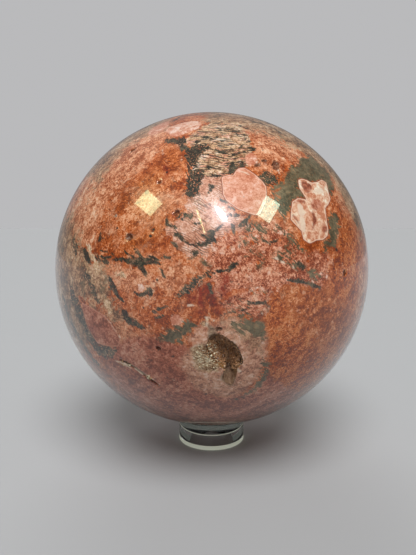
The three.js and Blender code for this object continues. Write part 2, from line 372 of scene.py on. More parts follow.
# Outlines and lines in pixels of the photograph; a line's third number is its width in millimetres
LAYER_SHAPES: dict[Layer, tuple[Area | Line, ...]] = {
    Layer.PEACH: areas(
        ((62, 232), (68, 208), (84, 180), (100, 160), (120, 142), (142, 128), (160, 126), (172, 138),
         (160, 145), (150, 160), (140, 170), (126, 180), (118, 196), (104, 206), (98, 226), (92, 250),
         (80, 244)),
        ((250, 128), (270, 132), (290, 142), (305, 155), (298, 160), (286, 158), (280, 172), (268, 172),
         (256, 168), (252, 150)),
        ((308, 148), (322, 158), (340, 182), (350, 206), (344, 210), (334, 186), (318, 165)),
        ((118, 272), (132, 268), (148, 272), (154, 284), (148, 296), (134, 298), (122, 292), (115, 282)),
        ((96, 296), (110, 300), (124, 316), (140, 332), (158, 340), (140, 345), (122, 345), (118, 330),
         (108, 314)),
        ((160, 262), (178, 258), (190, 264), (188, 280), (172, 290), (160, 280)),
    ),
    Layer.CREAM: lines(
        ((84, 262, 1.5), (88, 268, 2.2), (90, 277, 2.5), (93, 283, 1.5)),
        ((186, 142, 2.0), (196, 136, 3.0), (206, 128, 3.6), (222, 122, 3.0), (240, 124, 1.6)),
        ((204, 324, 0.8), (207, 320, 1.2), (210, 316, 0.6)),
        ((117, 275.5, 1.2), (121, 276, 1.4)),
        ((86, 244, 1.2), (90, 250, 1.6), (95, 262, 2.0), (97, 272, 1.2)),
        ((102, 296, 1.2), (107, 304, 1.8), (111, 312, 1.2)),
    ),
    Layer.CHIP: areas(
        ((191, 349), (198, 344), (208, 344), (214, 350), (218, 358), (222, 366), (216, 372), (206, 372),
         (198, 370), (192, 360)),
    ),
    # Painted glint: the pale line along the crack's floor
    Layer.SEAM_GLINT: lines(
        ((131, 366.4, 0.4), (134, 367.4, 0.7), (137, 369.6, 0.8), (141, 373, 0.9), (145, 375.6, 0.5)),
    ),
    Layer.GRANULAR: areas(
        ((262, 300), (284, 284), (310, 284), (328, 288), (332, 262), (340, 240), (345, 215), (352, 225),
         (358, 260), (357, 300), (348, 340), (335, 365), (310, 385), (285, 400), (268, 385), (262, 360),
         (268, 340), (262, 320)),
    ),
    Layer.TONGUE: areas(
        ((207.7, 324.5), (214.2, 326.7), (217.8, 332.5), (219.2, 337.6), (214.9, 341.9), (209.8, 343.4),
         (207.7, 336.1)),
        ((220.7, 376.6), (224, 372.5), (230, 371), (235.5, 373), (235, 381), (232.5, 386), (227.5, 386),
         (224.5, 382), (221, 379.5)),
    ),
    # Painted shade: a dark band along the hollow's upper wall, under its overhang
    Layer.WALL_SHADE: lines(
        ((228, 338, 1.0), (234, 343, 2.0), (239.5, 352.6, 2.4), (243, 363, 1.8)),
    ),
    Layer.TAN: areas(
        ((56, 285), (57, 240), (61, 220), (68, 214), (74, 225), (78, 240), (86, 252), (98, 262), (106, 272),
         (114, 292), (122, 318), (110, 314), (98, 308), (84, 300), (78, 300), (84, 322), (94, 345),
         (84, 352), (70, 335), (61, 312)),
        ((205, 112), (236, 112), (262, 117), (290, 128), (316, 145), (338, 168), (354, 196), (364, 230),
         (358, 232), (346, 204), (330, 176), (310, 158), (288, 145), (268, 135), (246, 129), (225, 125),
         (205, 122)),
        ((88, 170), (104, 150), (124, 134), (146, 123), (168, 117), (170, 128), (150, 133), (132, 143),
         (116, 158), (104, 176), (96, 186)),
    ),
    Layer.SALMON: areas(
        ((104, 352), (125, 338), (142, 335), (157, 339), (172, 341), (184, 345), (190, 352), (186, 366),
         (192, 380), (204, 392), (222, 398), (245, 393), (258, 383), (268, 373), (300, 392), (270, 416),
         (240, 424), (200, 426), (165, 416), (136, 400), (112, 378)),
    ),
    Layer.BRECCIA: areas(
        ((206, 250), (215, 240), (222, 236), (236, 234), (246, 228), (255, 224), (275, 220), (288, 228),
         (298, 246), (312, 250), (325, 252), (332, 262), (327, 275), (322, 286), (300, 283), (284, 285),
         (270, 296), (266, 310), (262, 322), (250, 318), (240, 314), (228, 308), (218, 306), (212, 296),
         (214, 284), (208, 270), (202, 262)),
    ),
    Layer.HALO: areas(
        ((190, 346), (197, 338), (206, 329), (214, 322), (226, 318), (240, 318), (252, 322), (264, 330),
         (268, 342), (267, 356), (262, 369), (255, 381), (245, 390), (232, 396), (216, 396), (202, 391),
         (190, 383), (183, 372), (184, 356)),
        ((186, 340), (196, 331), (205, 322), (208, 326), (200, 336), (192, 344)),
    ),
    Layer.TANNED: areas(
        ((222, 321), (238, 319), (252, 322), (262, 332), (266, 345), (262, 352), (250, 346), (240, 337),
         (228, 329)),
    ),
    Layer.LAMELLAR: areas(
        ((188, 142), (190, 135), (198, 130), (207, 126), (218, 123), (234, 124), (247, 130), (251, 140),
         (255, 150), (252, 160), (244, 166), (238, 166), (232, 172), (225, 176), (213, 178), (204, 176),
         (190, 170), (190, 160), (192, 150), (190, 144)),
        ((199, 168), (213, 176), (222, 178), (223, 190), (224, 200), (230, 208), (240, 214), (247, 218),
         (246, 226), (236, 231), (222, 235), (214, 245), (205, 254), (196, 259), (186, 258), (177, 247),
         (169, 238), (166, 227), (176, 221), (186, 212), (188, 198), (197, 192), (200, 180)),
    ),
    Layer.PINK: areas(
        ((165, 132), (169, 127), (176, 125), (187, 122), (197, 121), (202, 124), (198, 129), (187, 132.5),
         (179, 136), (172, 136.5)),
        ((147, 134), (153, 127.5), (162, 123), (169, 121.5), (168.5, 126), (162, 131.5), (154, 135.5)),
        ((245, 154), (251, 152), (257, 156), (257, 163), (250, 166), (245, 161)),
        ((138.5, 284.5), (142, 283), (145, 286), (144.5, 290), (141, 292.5), (138, 290)),
        ((170.5, 318), (175, 314.5), (181, 316), (183, 320), (180, 325.5), (174, 326.5), (170.5, 323)),
    ),
    Layer.STAIN: lines(
        ((193, 298, 2.0), (200, 294, 3.4), (207, 288, 3.0), (213, 300, 3.4), (221, 311, 1.6)),
        ((201.5, 288, 2.2), (201, 300, 2.6), (202, 314, 1.0)),
        ((229, 300, 1.5), (222, 290, 2.6), (225, 278, 1.6)),
        ((165, 166, 1.4), (167.5, 173, 1.8), (163, 180, 0.8)),
        ((334, 246, 1.6), (338, 251, 1.4)),
    ),
    Layer.RUST: areas(
        ((165, 145), (174, 144), (181, 149), (186, 157), (184, 168), (176, 172), (166, 180), (154, 186),
         (142, 190), (134, 186), (146, 176), (158, 164)),
        ((146, 228), (160, 222), (166, 228), (158, 238), (146, 246), (132, 250), (126, 244)),
        ((284, 286), (300, 284), (322, 290), (342, 300), (352, 318), (346, 338), (330, 350), (318, 344),
         (306, 328), (292, 312), (282, 300)),
    ),
    Layer.MATRIX: areas(
        ((166, 139.5), (175, 138.5), (184.7, 137), (186.5, 142.5), (192, 146.5), (199, 145), (206, 144),
         (208, 147), (203, 152), (201.5, 157.5), (197, 162), (194, 167), (189, 167), (185.7, 162),
         (185.7, 155.5), (179.5, 147), (174, 144), (166, 142)),
        ((189, 170), (197, 172), (203, 172), (199.5, 181), (200.5, 189), (199.5, 195), (192, 195),
         (188, 197), (185.7, 189), (188, 181)),
        ((259, 174.5), (265, 171.5), (272, 172), (280, 178.5), (275.5, 183), (270, 185), (264.5, 183),
         (260.5, 179)),
        ((176, 297.5), (181, 292), (187, 286), (194, 279), (204, 272.5), (210, 272.5), (207.5, 277),
         (199, 284), (189.5, 289), (183, 295)),
        ((102, 344), (112, 345.5), (114.5, 351.5), (108, 355.5), (101, 355), (98, 349)),
    ) + lines(
        ((71, 288, 2.2), (74, 300, 4.6), (79, 312, 5.6), (85, 324, 5.8), (92, 338, 5.6), (99, 350, 5.2),
         (108, 353, 3.8), (114, 350, 2.0)),
        ((63, 296, 1.2), (67, 312, 2.4), (76, 332, 3.2), (88, 352, 3.4), (98, 364, 2.2)),
        ((73, 240, 0.8), (75, 247, 1.4), (76, 254, 0.8)),
        ((84, 270, 1.0), (89, 281, 1.8), (94, 292, 2.0), (98, 303, 1.0)),
    ),
    Layer.VEIN: areas(
        ((108.7, 276.3), (112, 278.3), (114.7, 283.7), (117.3, 290.3), (121.3, 297), (125.3, 302.3),
         (122.7, 302.3), (117.3, 297.7), (112.7, 291.7), (108.7, 289), (110, 283.7)),
        ((121.3, 308.3), (126.7, 310.3), (129.3, 317), (134.7, 319.7), (140, 323.7), (145.3, 329),
         (140, 328.3), (133.3, 326.3), (128, 324.3), (124, 318.3), (122, 313)),
        ((231.4, 224.1), (233.9, 224.7), (235.4, 230.2), (235.1, 235.1), (233, 234.5), (231.4, 230.2)),
        ((237.5, 226.5), (241.5, 221.5), (246, 217.5), (251.6, 214.3), (249.5, 219.5), (246, 223.8),
         (241, 227.5)),
        ((223.5, 223.5), (221, 227.8), (216.1, 232.1), (213.7, 237.6), (217.3, 240.6), (217.3, 242.5),
         (212.5, 242.5), (208.8, 243.7), (205.7, 246.7), (201.5, 247.3), (196.6, 244.9), (199, 241.8),
         (203.9, 242.5), (207, 238.8), (207.6, 233.9), (206.3, 230.2), (212.5, 229.6), (217.3, 227.8)),
        ((199.6, 233.8), (204, 234.2), (207, 236), (206.5, 238), (202.5, 236)),
        ((170.5, 241), (174, 241.5), (177.5, 244), (178, 248), (176.5, 249.5), (173.5, 246.5)),
        ((201.5, 248.6), (199.5, 252), (197, 256), (192, 259.5), (186, 260.5), (190.5, 257.5), (193, 255.5),
         (190.8, 255), (194.5, 253), (191.5, 252.4), (195.6, 250.6), (193, 249.8), (198, 248.8)),
        ((229.5, 163), (233.3, 161), (235, 166), (239, 165.5), (240, 160.5), (244.8, 163), (246, 167.4),
         (236.5, 169.3), (234, 173.8), (228.9, 173.1)),
    ) + lines(
        ((77, 198, 0.8), (72, 208, 0.6), (68, 220, 0.5)),
        ((88.5, 198, 0.6), (87.5, 205, 0.4)),
        ((95, 258, 0.7), (108, 263, 0.9)),
        ((98, 250.5, 0.3), (106, 251.5, 0.5), (114, 254, 0.3)),
        ((97, 256, 0.3), (104, 257.5, 0.7), (111, 257, 0.4)),
        ((112, 260, 0.5), (120, 259, 1.1), (127, 260.5, 1.5), (134, 262.5, 2.3), (141, 262, 2.5),
         (148, 261, 1.8), (155, 262.5, 1.3), (161, 264, 0.6)),
        ((135, 250, 0.6), (139, 253.5, 1.2), (143, 259, 1.1)),
        ((138, 264, 1.4), (143, 269.5, 1.6), (146.5, 276, 0.8)),
        ((124, 252.5, 0.4), (130, 255, 0.8), (136, 259, 0.7)),
        ((149, 256, 0.5), (154, 257.5, 0.9), (158, 260, 0.5)),
        ((134.5, 292.5, 0.5), (137.5, 295, 0.9), (143.5, 294, 1.3), (149, 290.5, 1.7), (151, 295, 1.0)),
        ((153, 312, 0.6), (160, 309, 0.9), (168, 306, 0.6)),
        ((155, 318, 0.5), (163, 316, 0.8)),
        ((161.5, 269, 0.5), (164.5, 277, 0.8)),
        ((162.5, 257.5, 0.9), (170, 258, 0.6)),
        ((84.5, 250.5, 1.9), (87, 257, 2.2), (91, 264, 0.9)),
        ((76, 242.5, 0.9), (77.5, 248, 0.7)),
        ((92.5, 286, 0.9), (96, 293, 1.2), (97.5, 303, 0.5)),
        ((84, 275, 0.7), (86.5, 281, 0.7)),
        ((99.5, 240, 1.2), (101, 233, 0.4)),
        ((174, 121, 0.8), (180, 117, 1.0), (192, 115, 1.0), (208, 114, 0.7)),
        ((251, 121, 0.8), (262, 124, 1.0), (271, 127, 0.8), (281, 133, 0.9), (290, 139, 0.4)),
        ((174.6, 234.5, 1.2), (179.4, 235.5, 1.0), (183.1, 240, 0.6), (188, 243.7, 0.7),
         (196.6, 245.5, 1.0)),
        ((166, 219, 0.9), (167.5, 224, 1.1), (172, 226, 1.0), (176.5, 228, 1.0)),
        ((183.5, 211, 0.5), (178.8, 217, 0.9)),
        ((186.4, 214, 0.7), (190.7, 216, 1.2)),
        ((185, 216, 0.4), (181.5, 220, 0.7)),
        ((194.5, 223.4, 0.3), (199.6, 222.4, 0.9)),
        ((198.5, 229.8, 0.5), (202, 229, 0.6)),
        ((219.4, 200, 0.5), (225.8, 201.4, 1.4)),
        ((228.4, 206.5, 0.6), (234.7, 209, 0.9)),
        ((227.7, 216, 1.3), (231, 215, 1.0)),
        ((235, 215.5, 1.2), (238.5, 215, 0.9)),
        ((209.5, 185.5, 1.2), (212.5, 187, 1.5), (208.5, 192, 0.9)),
        ((201.6, 177, 0.5), (212.4, 175.5, 0.9), (222.6, 177, 0.4)),
        ((196.4, 170.6, 1.0), (203.4, 171.2, 0.9)),
        ((188, 195, 0.8), (190.4, 198.5, 0.4)),
        ((210.4, 140, 0.8), (218.7, 143, 0.4)),
        ((235, 133.5, 0.8), (238.5, 135, 0.7)),
        ((229, 128.4, 0.7), (235, 127.6, 0.5)),
        ((240, 125.5, 1.0), (246, 128.5, 1.0)),
        ((214.2, 149.5, 0.7), (223.8, 150.8, 0.5), (232, 149.5, 0.5), (239.7, 148.3, 0.6),
         (248, 140.6, 0.3)),
        ((229.5, 156.5, 0.4), (236.5, 153.4, 0.9), (246, 151.5, 0.6)),
        ((198.3, 139.3, 0.5), (204.6, 140, 0.5)),
        ((228, 269, 0.9), (233, 265.5, 1.7), (236.5, 264, 0.9)),
        ((212, 273, 0.6), (223, 270.5, 0.8), (229, 270.5, 0.6)),
        ((248.5, 302, 0.7), (253.5, 303, 1.0), (264.5, 303, 0.9)),
        ((224, 314, 0.4), (235.5, 311.5, 0.5), (246, 309, 0.4)),
        ((298, 262, 1.2), (303, 268, 1.4)),
        ((287.5, 280, 0.8), (297, 281, 1.3), (309, 283.5, 1.0), (320, 287.5, 0.9)),
        ((209, 285, 1.0), (211.5, 293, 1.4)),
        ((216.5, 137, 1.0), (224.5, 134.5, 0.8)),
        ((263, 240, 0.4), (270, 243, 0.9), (277, 240, 0.5)),
    ),
    Layer.OLIVE: areas(
        ((289.5, 168), (296, 162), (302.5, 157), (310, 156.5), (318, 162), (325, 169), (330, 176),
         (334, 186), (334, 196), (330, 198), (327, 186), (319, 181), (311, 183), (304, 180), (299, 180.5),
         (298.5, 188), (303, 196.5), (297, 199), (291, 205), (289, 211), (284, 219), (278.5, 215.5),
         (280.5, 206), (274.5, 199.5), (270, 190.5), (274.5, 183), (283, 181), (285, 174)),
        ((328.5, 213.5), (336, 214.5), (339, 224), (337, 235), (335, 245), (325, 250), (322.5, 243),
         (329, 236), (328.5, 224)),
        ((251, 318), (262, 321), (266, 330), (262, 340), (250, 334), (236, 330), (230, 325), (240, 320)),
        ((159, 338), (166, 333), (172.5, 330), (181, 325), (189, 321), (194.5, 322.5), (193, 328.5),
         (187, 335.5), (181, 343), (173.5, 341.6), (163, 340.4)),
    ) + lines(
        ((241.5, 316.5, 1.2), (247.5, 315, 1.5), (251, 319, 1.2)),
        ((310.5, 272.5, 1.6), (318, 276.5, 1.6)),
        ((288, 236, 1.2), (294, 243, 2.0), (304, 252, 1.6)),
        ((262, 360, 1.0), (266, 368, 2.2), (262, 380, 2.0), (252, 391, 1.4), (238, 399, 0.8)),
    ),
    Layer.FLAME: lines(
        ((286, 156.5, 1.0), (288.5, 163, 1.3), (286, 171, 1.0), (283.5, 178, 0.9), (284, 184, 0.5)),
        ((269, 190.5, 0.7), (274.5, 192, 1.1), (281, 188, 0.6)),
        ((274.5, 194, 0.8), (280, 197.5, 1.0)),
        ((274.5, 216.5, 1.5), (281, 223, 2.1), (285.5, 228, 1.0)),
        ((287, 212, 0.5), (291, 218, 0.9), (293, 224, 0.6)),
        ((222, 300, 1.2), (234, 292, 1.8), (246, 290, 1.4)),
        ((190, 322, 0.6), (195, 316, 1.0), (198, 309, 0.5)),
        ((250, 322, 0.5), (258, 318, 1.2), (266, 322, 1.0)),
    ),
    Layer.BROWN: areas(
        ((81.5, 302), (92, 308), (104, 315), (113, 326), (119.5, 337), (120, 342), (118.3, 346.5),
         (108, 346), (97.7, 343.3), (88, 328), (84, 316)),
    ),
    Layer.COBBLE: areas(
        ((221.6, 177), (229.8, 174.8), (232.9, 175.8), (236.4, 170.2), (239, 168.2), (244, 167.7),
         (248.7, 170.2), (255.3, 174.8), (262.4, 181.4), (266, 186.5), (266.5, 193), (266, 201), (260, 214),
         (254.8, 215), (245.6, 212), (237, 208.5), (231.8, 204.4), (226.2, 200.3), (223.2, 194.7),
         (222.7, 186.5)),
    ),
    Layer.BLOTCH: areas(
        ((298.2, 179.9), (302.2, 178.8), (306.8, 180.2), (311.4, 182.8), (316.6, 182.2), (321.7, 179.6),
         (326.3, 182.8), (328.1, 190.8), (330.4, 199.4), (328.1, 204.6), (325.2, 207.5), (325.8, 213.8),
         (326.9, 222.4), (328.3, 229.9), (327.5, 236.2), (322.9, 239.6), (316.6, 240.2), (309.7, 243.6),
         (303.4, 239.6), (301.6, 231), (296.5, 225.8), (290.7, 219.5), (291.3, 209.8), (292.5, 201.7),
         (297.6, 198.3), (303.4, 198.9), (307.4, 200.6), (303.9, 194.9), (299.4, 188)),
    ),
    Layer.BLOTCH_BROWN: areas(
        ((300, 181), (305.5, 181), (311, 184), (312.5, 189), (309, 193.5), (305, 192), (302.5, 187)),
        ((311.5, 200), (316, 198.5), (320.5, 201), (321, 206), (317, 211), (312.5, 209.5), (310.5, 205)),
        ((323.5, 224), (327, 226), (328, 231), (325, 233.5), (322.5, 229.5)),
    ) + lines(
        ((293.5, 201.5, 1.0), (299, 200.5, 1.4), (304, 202, 1.0)),
        ((313, 212, 0.8), (315, 220, 1.4), (313, 228, 0.9)),
        ((294, 216, 0.9), (299, 223, 0.5)),
    ),
    # Pale grains, and among them painted glints and a painted highlight
    Layer.PALE_AND_GLINTS: lines(
        # Painted highlight on the cobble's top
        ((241.5, 171.7, 0.3), (246, 173, 0.5), (250, 175, 0.2)),
        ((212, 141, 0.5), (219, 139, 1.2), (226, 140, 0.5)),
        ((180, 131, 0.3), (188, 127, 0.9), (198, 124, 0.4)),
        ((188, 306, 0.5), (192, 305.5, 0.8), (196, 306, 0.4)),
        ((276, 258, 1.0), (277, 259, 1.0)),
        ((282, 262, 0.6), (284, 263, 0.6)),
        ((293, 266, 0.5), (294, 269, 0.5)),
        ((206, 317, 0.3), (208, 322, 0.5), (206, 327, 0.3)),
        ((202, 318.5, 0.1), (208, 317, 0.5), (214, 320.5, 0.3)),
        ((236.5, 368, 1.0), (239.5, 371, 1.5)),
        ((104, 315, 0.3), (110, 322, 0.5), (116, 331, 0.5), (121, 339, 0.3)),
        ((300, 206, 1.8), (302, 213, 2.2)),
        ((302, 219, 2.0), (303, 228, 2.2)),
        ((314, 192, 1.2), (322, 190, 1.6)),
        ((144.2, 141.8, 0.6),),
        ((181.5, 159.7, 0.9),),
        ((162.6, 150, 0.3), (163, 154, 0.4)),
        # Painted glints in small pits
        ((122.6, 204.4, 0.7),),
        ((115.8, 215.5, 0.6),),
        ((127.6, 237, 0.6),),
        # Painted glints beside the pits on the upper right
        ((258, 166, 0.8),),
        ((265.5, 164.5, 0.6),),
        ((277, 169, 0.8), (279, 173, 0.6)),
        ((92, 262, 0.5), (92, 269, 0.8)),
        # Painted glints at the crack's two ends
        ((115, 360.5, 0.5), (120, 362, 1.0), (126, 364.5, 0.9), (131, 368, 0.4)),
        ((144, 374, 0.4), (149, 377, 1.1), (154, 380.5, 0.5)),
    ),
    Layer.SPOT: tuple(
        Line(((u, v, width),))
        for u, v, width in (
            (153.7, 229.7, 0.9), (150.5, 236, 1.0), (117.3, 228.1, 0.7), (97.4, 235.5, 0.5),
            (89.5, 198.7, 0.6), (162, 227, 0.6), (166.8, 172.3, 0.8), (129.4, 239.6, 0.8),
            (157.2, 280, 0.7), (143.3, 307.9, 0.6), (187.5, 354.5, 0.5), (158.4, 350.3, 0.4),
            (151.8, 360, 0.5), (171.8, 364.8, 0.5), (221.4, 329, 0.9), (277.7, 318, 0.6),
            (308.6, 291.5, 0.6), (335.3, 277.6, 0.5), (336.5, 249.7, 1.2), (282.5, 354.5, 0.7),
            (338.3, 327.2, 0.7), (343, 311.5, 0.8), (300, 333.3, 0.4), (243.8, 398, 0.9),
            (130.5, 364.3, 0.9), (142, 371.6, 0.7), (173, 356.5, 0.9), (104, 209, 0.4),
            (136, 224, 0.3), (110, 246, 0.5), (176, 207, 0.4), (258, 290, 0.4), (318, 318, 0.5),
            (267, 338, 0.5), (232, 282, 0.5), (206, 394, 0.7), (181, 388, 0.6), (168, 378, 0.6),
            (196, 404, 0.7), (222, 410, 0.6), (253, 406, 0.6), (286, 372, 0.5), (150, 386, 0.5),
            (229, 183, 0.4), (244, 196.7, 0.4), (256.7, 196.7, 0.3), (238, 204, 0.3),
        )
    ),
}

# The front's shapes are seen again on the sides and back, turned, as the same rock goes on there
UNSEEN_COPIES: tuple[np.ndarray, ...] = (
    turned(178, 12, 155),
    turned(-104, -8, 70),
    turned(103, 4, -110),
)
SEEN_ANGLE = 71.0
SINGLE_LAYERS = (Layer.BLOTCH, Layer.BLOTCH_BROWN)

# How the lamellar areas' lines run: degrees from level, in the order of their areas
LAMELLAR_TILTS: tuple[float, ...] = (9.0, -14.0)


def closed_curve(points: np.ndarray, steps: int) -> np.ndarray:
    """Smooth closed curve through some points.

    Each stretch is a cubic whose end slopes come from the neighbouring points, with knots spaced
    by the square root of their distances (a centripetal Catmull-Rom curve).

    Args:
        points: the points, two columns.
        steps: how many places to give on each stretch.

    Returns:
        Places along the curve, two columns.
    """
    before, start, end, after = (np.roll(points, shift, axis=0) for shift in (1, 0, -1, -2))
    first = np.sqrt(np.linalg.norm(start - before, axis=1))[:, None]
    middle = np.sqrt(np.linalg.norm(end - start, axis=1))[:, None]
    last = np.sqrt(np.linalg.norm(after - end, axis=1))[:, None]
    chord = (end - start) / middle
    leave = middle * ((start - before) / first - (end - before) / (first + middle) + chord)
    arrive = middle * (chord - (after - start) / (middle + last) + (after - end) / last)
    t = (np.arange(steps) / steps)[None, :, None]
    square = 3 * (end - start) - 2 * leave - arrive
    cube = 2 * (start - end) + leave + arrive
    curve = start[:, None] + t * leave[:, None] + t**2 * square[:, None] + t**3 * cube[:, None]
    return curve.reshape(-1, 2)


@dataclass(frozen=True)
class HollowShape:
    """The hollow in the ball's face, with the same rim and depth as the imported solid."""

    azimuth: float = 4.0
    elevation: float = -21.0
    depth: float = 5.2
    deepest: tuple[float, float] = (1.2, 0.6)
    lumps: float = 0.35
    rim: Points = (
        (-5.0, 8.4), (-2.2, 8.6), (0.6, 6.8), (3.2, 4.4), (4.9, 0.6), (5.5, -2.3), (3.8, -4.2),
        (3.5, -7.8), (2.2, -12.0), (-0.6, -9.0), (-0.5, -4.6), (-3.4, -2.4), (-5.8, 0.6), (-6.2, 4.0),
    )

    def chart(self) -> Chart:
        """Flat coordinates around the hollow's middle."""
        return Chart(towards(self.azimuth, self.elevation))

    def rim_radius(self, bearings: np.ndarray) -> np.ndarray:
        """Distance from the deepest place to the rim on each bearing, in millimetres.

        Args:
            bearings: angles in radians.

        Returns:
            One distance for each bearing.
        """
        offsets = closed_curve(np.array(self.rim), 24) - np.array(self.deepest)
        angles = np.arctan2(offsets[:, 1], offsets[:, 0])
        order = np.argsort(angles)
        reach = np.linalg.norm(offsets, axis=1)
        return np.interp(bearings, angles[order], reach[order], period=2 * math.pi)

    def polar(self, places: np.ndarray) -> tuple[np.ndarray, np.ndarray, np.ndarray]:
        """Bearing, distance and rim distance of some places, seen from the deepest place.

        Args:
            places: places of the touching plane, two columns.

        Returns:
            Bearings in radians, and two distances in millimetres.
        """
        offsets = places - np.array(self.deepest)
        bearings = np.arctan2(offsets[:, 1], offsets[:, 0])
        return bearings, np.linalg.norm(offsets, axis=1), self.rim_radius(bearings)

    def depth_at(self, places: np.ndarray) -> np.ndarray:
        """Depth below the polish: the depth times a power of the sine of the way in from the rim.

        Args:
            places: places of the touching plane, two columns.

        Returns:
            The depths in millimetres, zero outside the rim.
        """
        bearings, distance, rim = self.polar(places)
        inward = np.clip(1 - distance / rim, 0, 1)
        lumps = self.lumps * np.sin(5 * bearings + 5 * inward) * np.sin(math.pi * inward)
        return np.maximum(self.depth * np.sin(math.pi / 2 * inward) ** 0.75 + lumps, 0) * (inward > 0)

    def on_rim(self, places: np.ndarray, reach: float) -> np.ndarray:
        """Moves the places that lie within reach of the rim onto it, along their bearings.

        Args:
            places: places of the touching plane, two columns.
            reach: how far from the rim a place is moved, in millimetres.

        Returns:
            All the places, moved or not.
        """
        _, distance, rim = self.polar(places)
        middle = np.array(self.deepest)
        moved = middle + (places - middle) * (rim / np.maximum(distance, 1e-6))[:, None]
        return np.where((np.abs(rim - distance) < reach)[:, None], moved, places)


@dataclass(frozen=True)
class Pit:
    """A small pit in the polish: its place and turn in degrees, and its sizes in millimetres."""

    azimuth: float
    elevation: float
    long: float
    short: float
    depth: float
    turn: float

    def depth_at(self, directions: np.ndarray) -> np.ndarray:
        """Depth below the polish: the lower half of an ellipsoid.

        Args:
            directions: unit vectors from the ball's centre, three columns.

        Returns:
            The depths in millimetres, zero outside the pit.
        """
        places = Chart(towards(self.azimuth, self.elevation)).flatten(directions)
        t = math.radians(self.turn)
        along = (places[:, 0] * math.cos(t) + places[:, 1] * math.sin(t)) / self.long
        across = (places[:, 1] * math.cos(t) - places[:, 0] * math.sin(t)) / self.short
        return self.depth * np.sqrt(np.clip(1 - along**2 - across**2, 0, 1))


PITS: tuple[Pit, ...] = (
    Pit(23.6, 36.6, 2.1, 1.2, 1.5, 70),
    Pit(16.2, 36.4, 1.3, 0.7, 0.9, 20),
    Pit(19.4, 38.2, 0.9, 0.7, 0.8, 0),
    Pit(-24.9, 13.5, 1.3, 1.1, 1.1, 0),
    Pit(-17.4, 15.2, 0.6, 0.4, 0.5, 60),
    Pit(-31.0, 19.8, 0.5, 0.4, 0.4, 0),
    Pit(-17.9, 30.1, 0.9, 0.6, 0.7, 40),
    Pit(-10.6, 20.6, 1.1, 0.8, 0.8, 30),
    Pit(1.7, -11.8, 0.9, 0.6, 0.9, 10),
    Pit(-16.5, -18.4, 0.8, 0.7, 0.7, 0),
    Pit(-36.5, 44.0, 1.0, 0.7, 0.8, 15),
    Pit(44.0, 2.5, 0.9, 0.7, 0.8, 60),
    Pit(84.0, 24.0, 2.4, 1.3, 1.4, 35),
    Pit(112.0, -14.0, 1.5, 1.0, 1.0, 80),
    Pit(138.0, 34.0, 1.2, 0.9, 0.9, 0),
    Pit(163.0, 6.0, 3.0, 1.7, 1.8, 25),
    Pit(171.0, 9.5, 1.3, 0.9, 1.0, 50),
    Pit(-152.0, -24.0, 1.8, 1.1, 1.2, 65),
    Pit(-128.0, 18.0, 1.2, 0.8, 0.9, 10),
    Pit(-96.0, 41.0, 1.9, 1.0, 1.2, 120),
    Pit(-78.0, -12.0, 1.1, 0.8, 0.8, 45),
)


@dataclass(frozen=True)
class Crack:
    """The short open crack: azimuth, elevation and width in millimetres along its line."""

    depth: float = 1.6
    line: Points = (
        (-32.5, -23.8, 0.2), (-29.4, -25.0, 1.1), (-26.6, -26.3, 0.8),
        (-24.0, -28.4, 1.0), (-21.4, -30.8, 0.9), (-18.6, -33.6, 0.2),
    )

    def depth_at(self, directions: np.ndarray) -> np.ndarray:
        """Depth below the polish: a V whose walls fall from each lip to the middle.

        Args:
            directions: unit vectors from the ball's centre, three columns.

        Returns:
            The depths in millimetres, zero outside the crack.
        """
        stations = np.array([towards(azimuth, elevation) for azimuth, elevation, _ in self.line])
        halves = np.array([width for _, _, width in self.line]) / 2
        chart = Chart(stations.mean(axis=0))
        inside = line_field(chart.flatten(directions), chart.flatten(stations), halves)
        return self.depth * np.clip(inside / halves.max(), 0, 1)


def quad_ball(cells: int) -> tuple[np.ndarray, np.ndarray]:
    """A unit ball of even quads: six square grids blown up from a cube.

    A grid place at angles a and b on a face whose own axes are i, j and k lies along
    k plus tan a times i plus tan b times j.

    Args:
        cells: how many quads stand along each face's edge.

    Returns:
        Unit vectors, and the four corners of each quad, turning outwards.
    """
    steps = np.tan(np.linspace(-math.pi / 4, math.pi / 4, cells + 1))
    across, along = np.meshgrid(steps, steps)
    corner = (np.arange(cells)[:, None] * (cells + 1) + np.arange(cells)).ravel()
    face_quads = np.stack([corner, corner + 1, corner + cells + 2, corner + cells + 1], axis=1)
    points, quads = [], []
    for axis in range(3):
        for sign in (1.0, -1.0):
            k, i = np.eye(3)[axis] * sign, np.eye(3)[(axis + 1) % 3]
            j = np.cross(k, i)
            face = k + across.reshape(-1, 1) * i + along.reshape(-1, 1) * j
            quads.append(face_quads + len(points) * (cells + 1) ** 2)
            points.append(unit(face))
    all_points = np.vstack(points)
    _, kept, joined = np.unique(np.round(all_points, 7), axis=0, return_index=True, return_inverse=True)
    return all_points[kept], joined.reshape(-1)[np.vstack(quads)]


def drawn_towards(directions: np.ndarray, focus: np.ndarray, pull: float) -> np.ndarray:
    """Crowds a ball's points towards one side of it, keeping its quads square.

    A point at an angle from the focus goes to the angle whose half has a tangent pull times less.

    Args:
        directions: unit vectors from the ball's centre, three columns.
        focus: the unit vector that they crowd around.
        pull: how much closer they stand there.

    Returns:
        The moved unit vectors.
    """
    cosine = np.clip(directions @ focus, -1, 1)
    angle = 2 * np.arctan(np.tan(np.arccos(cosine) / 2) / pull)
    side = directions - cosine[:, None] * focus
    side /= np.maximum(np.linalg.norm(side, axis=1, keepdims=True), 1e-12)
    return unit(np.cos(angle)[:, None] * focus + np.sin(angle)[:, None] * side)


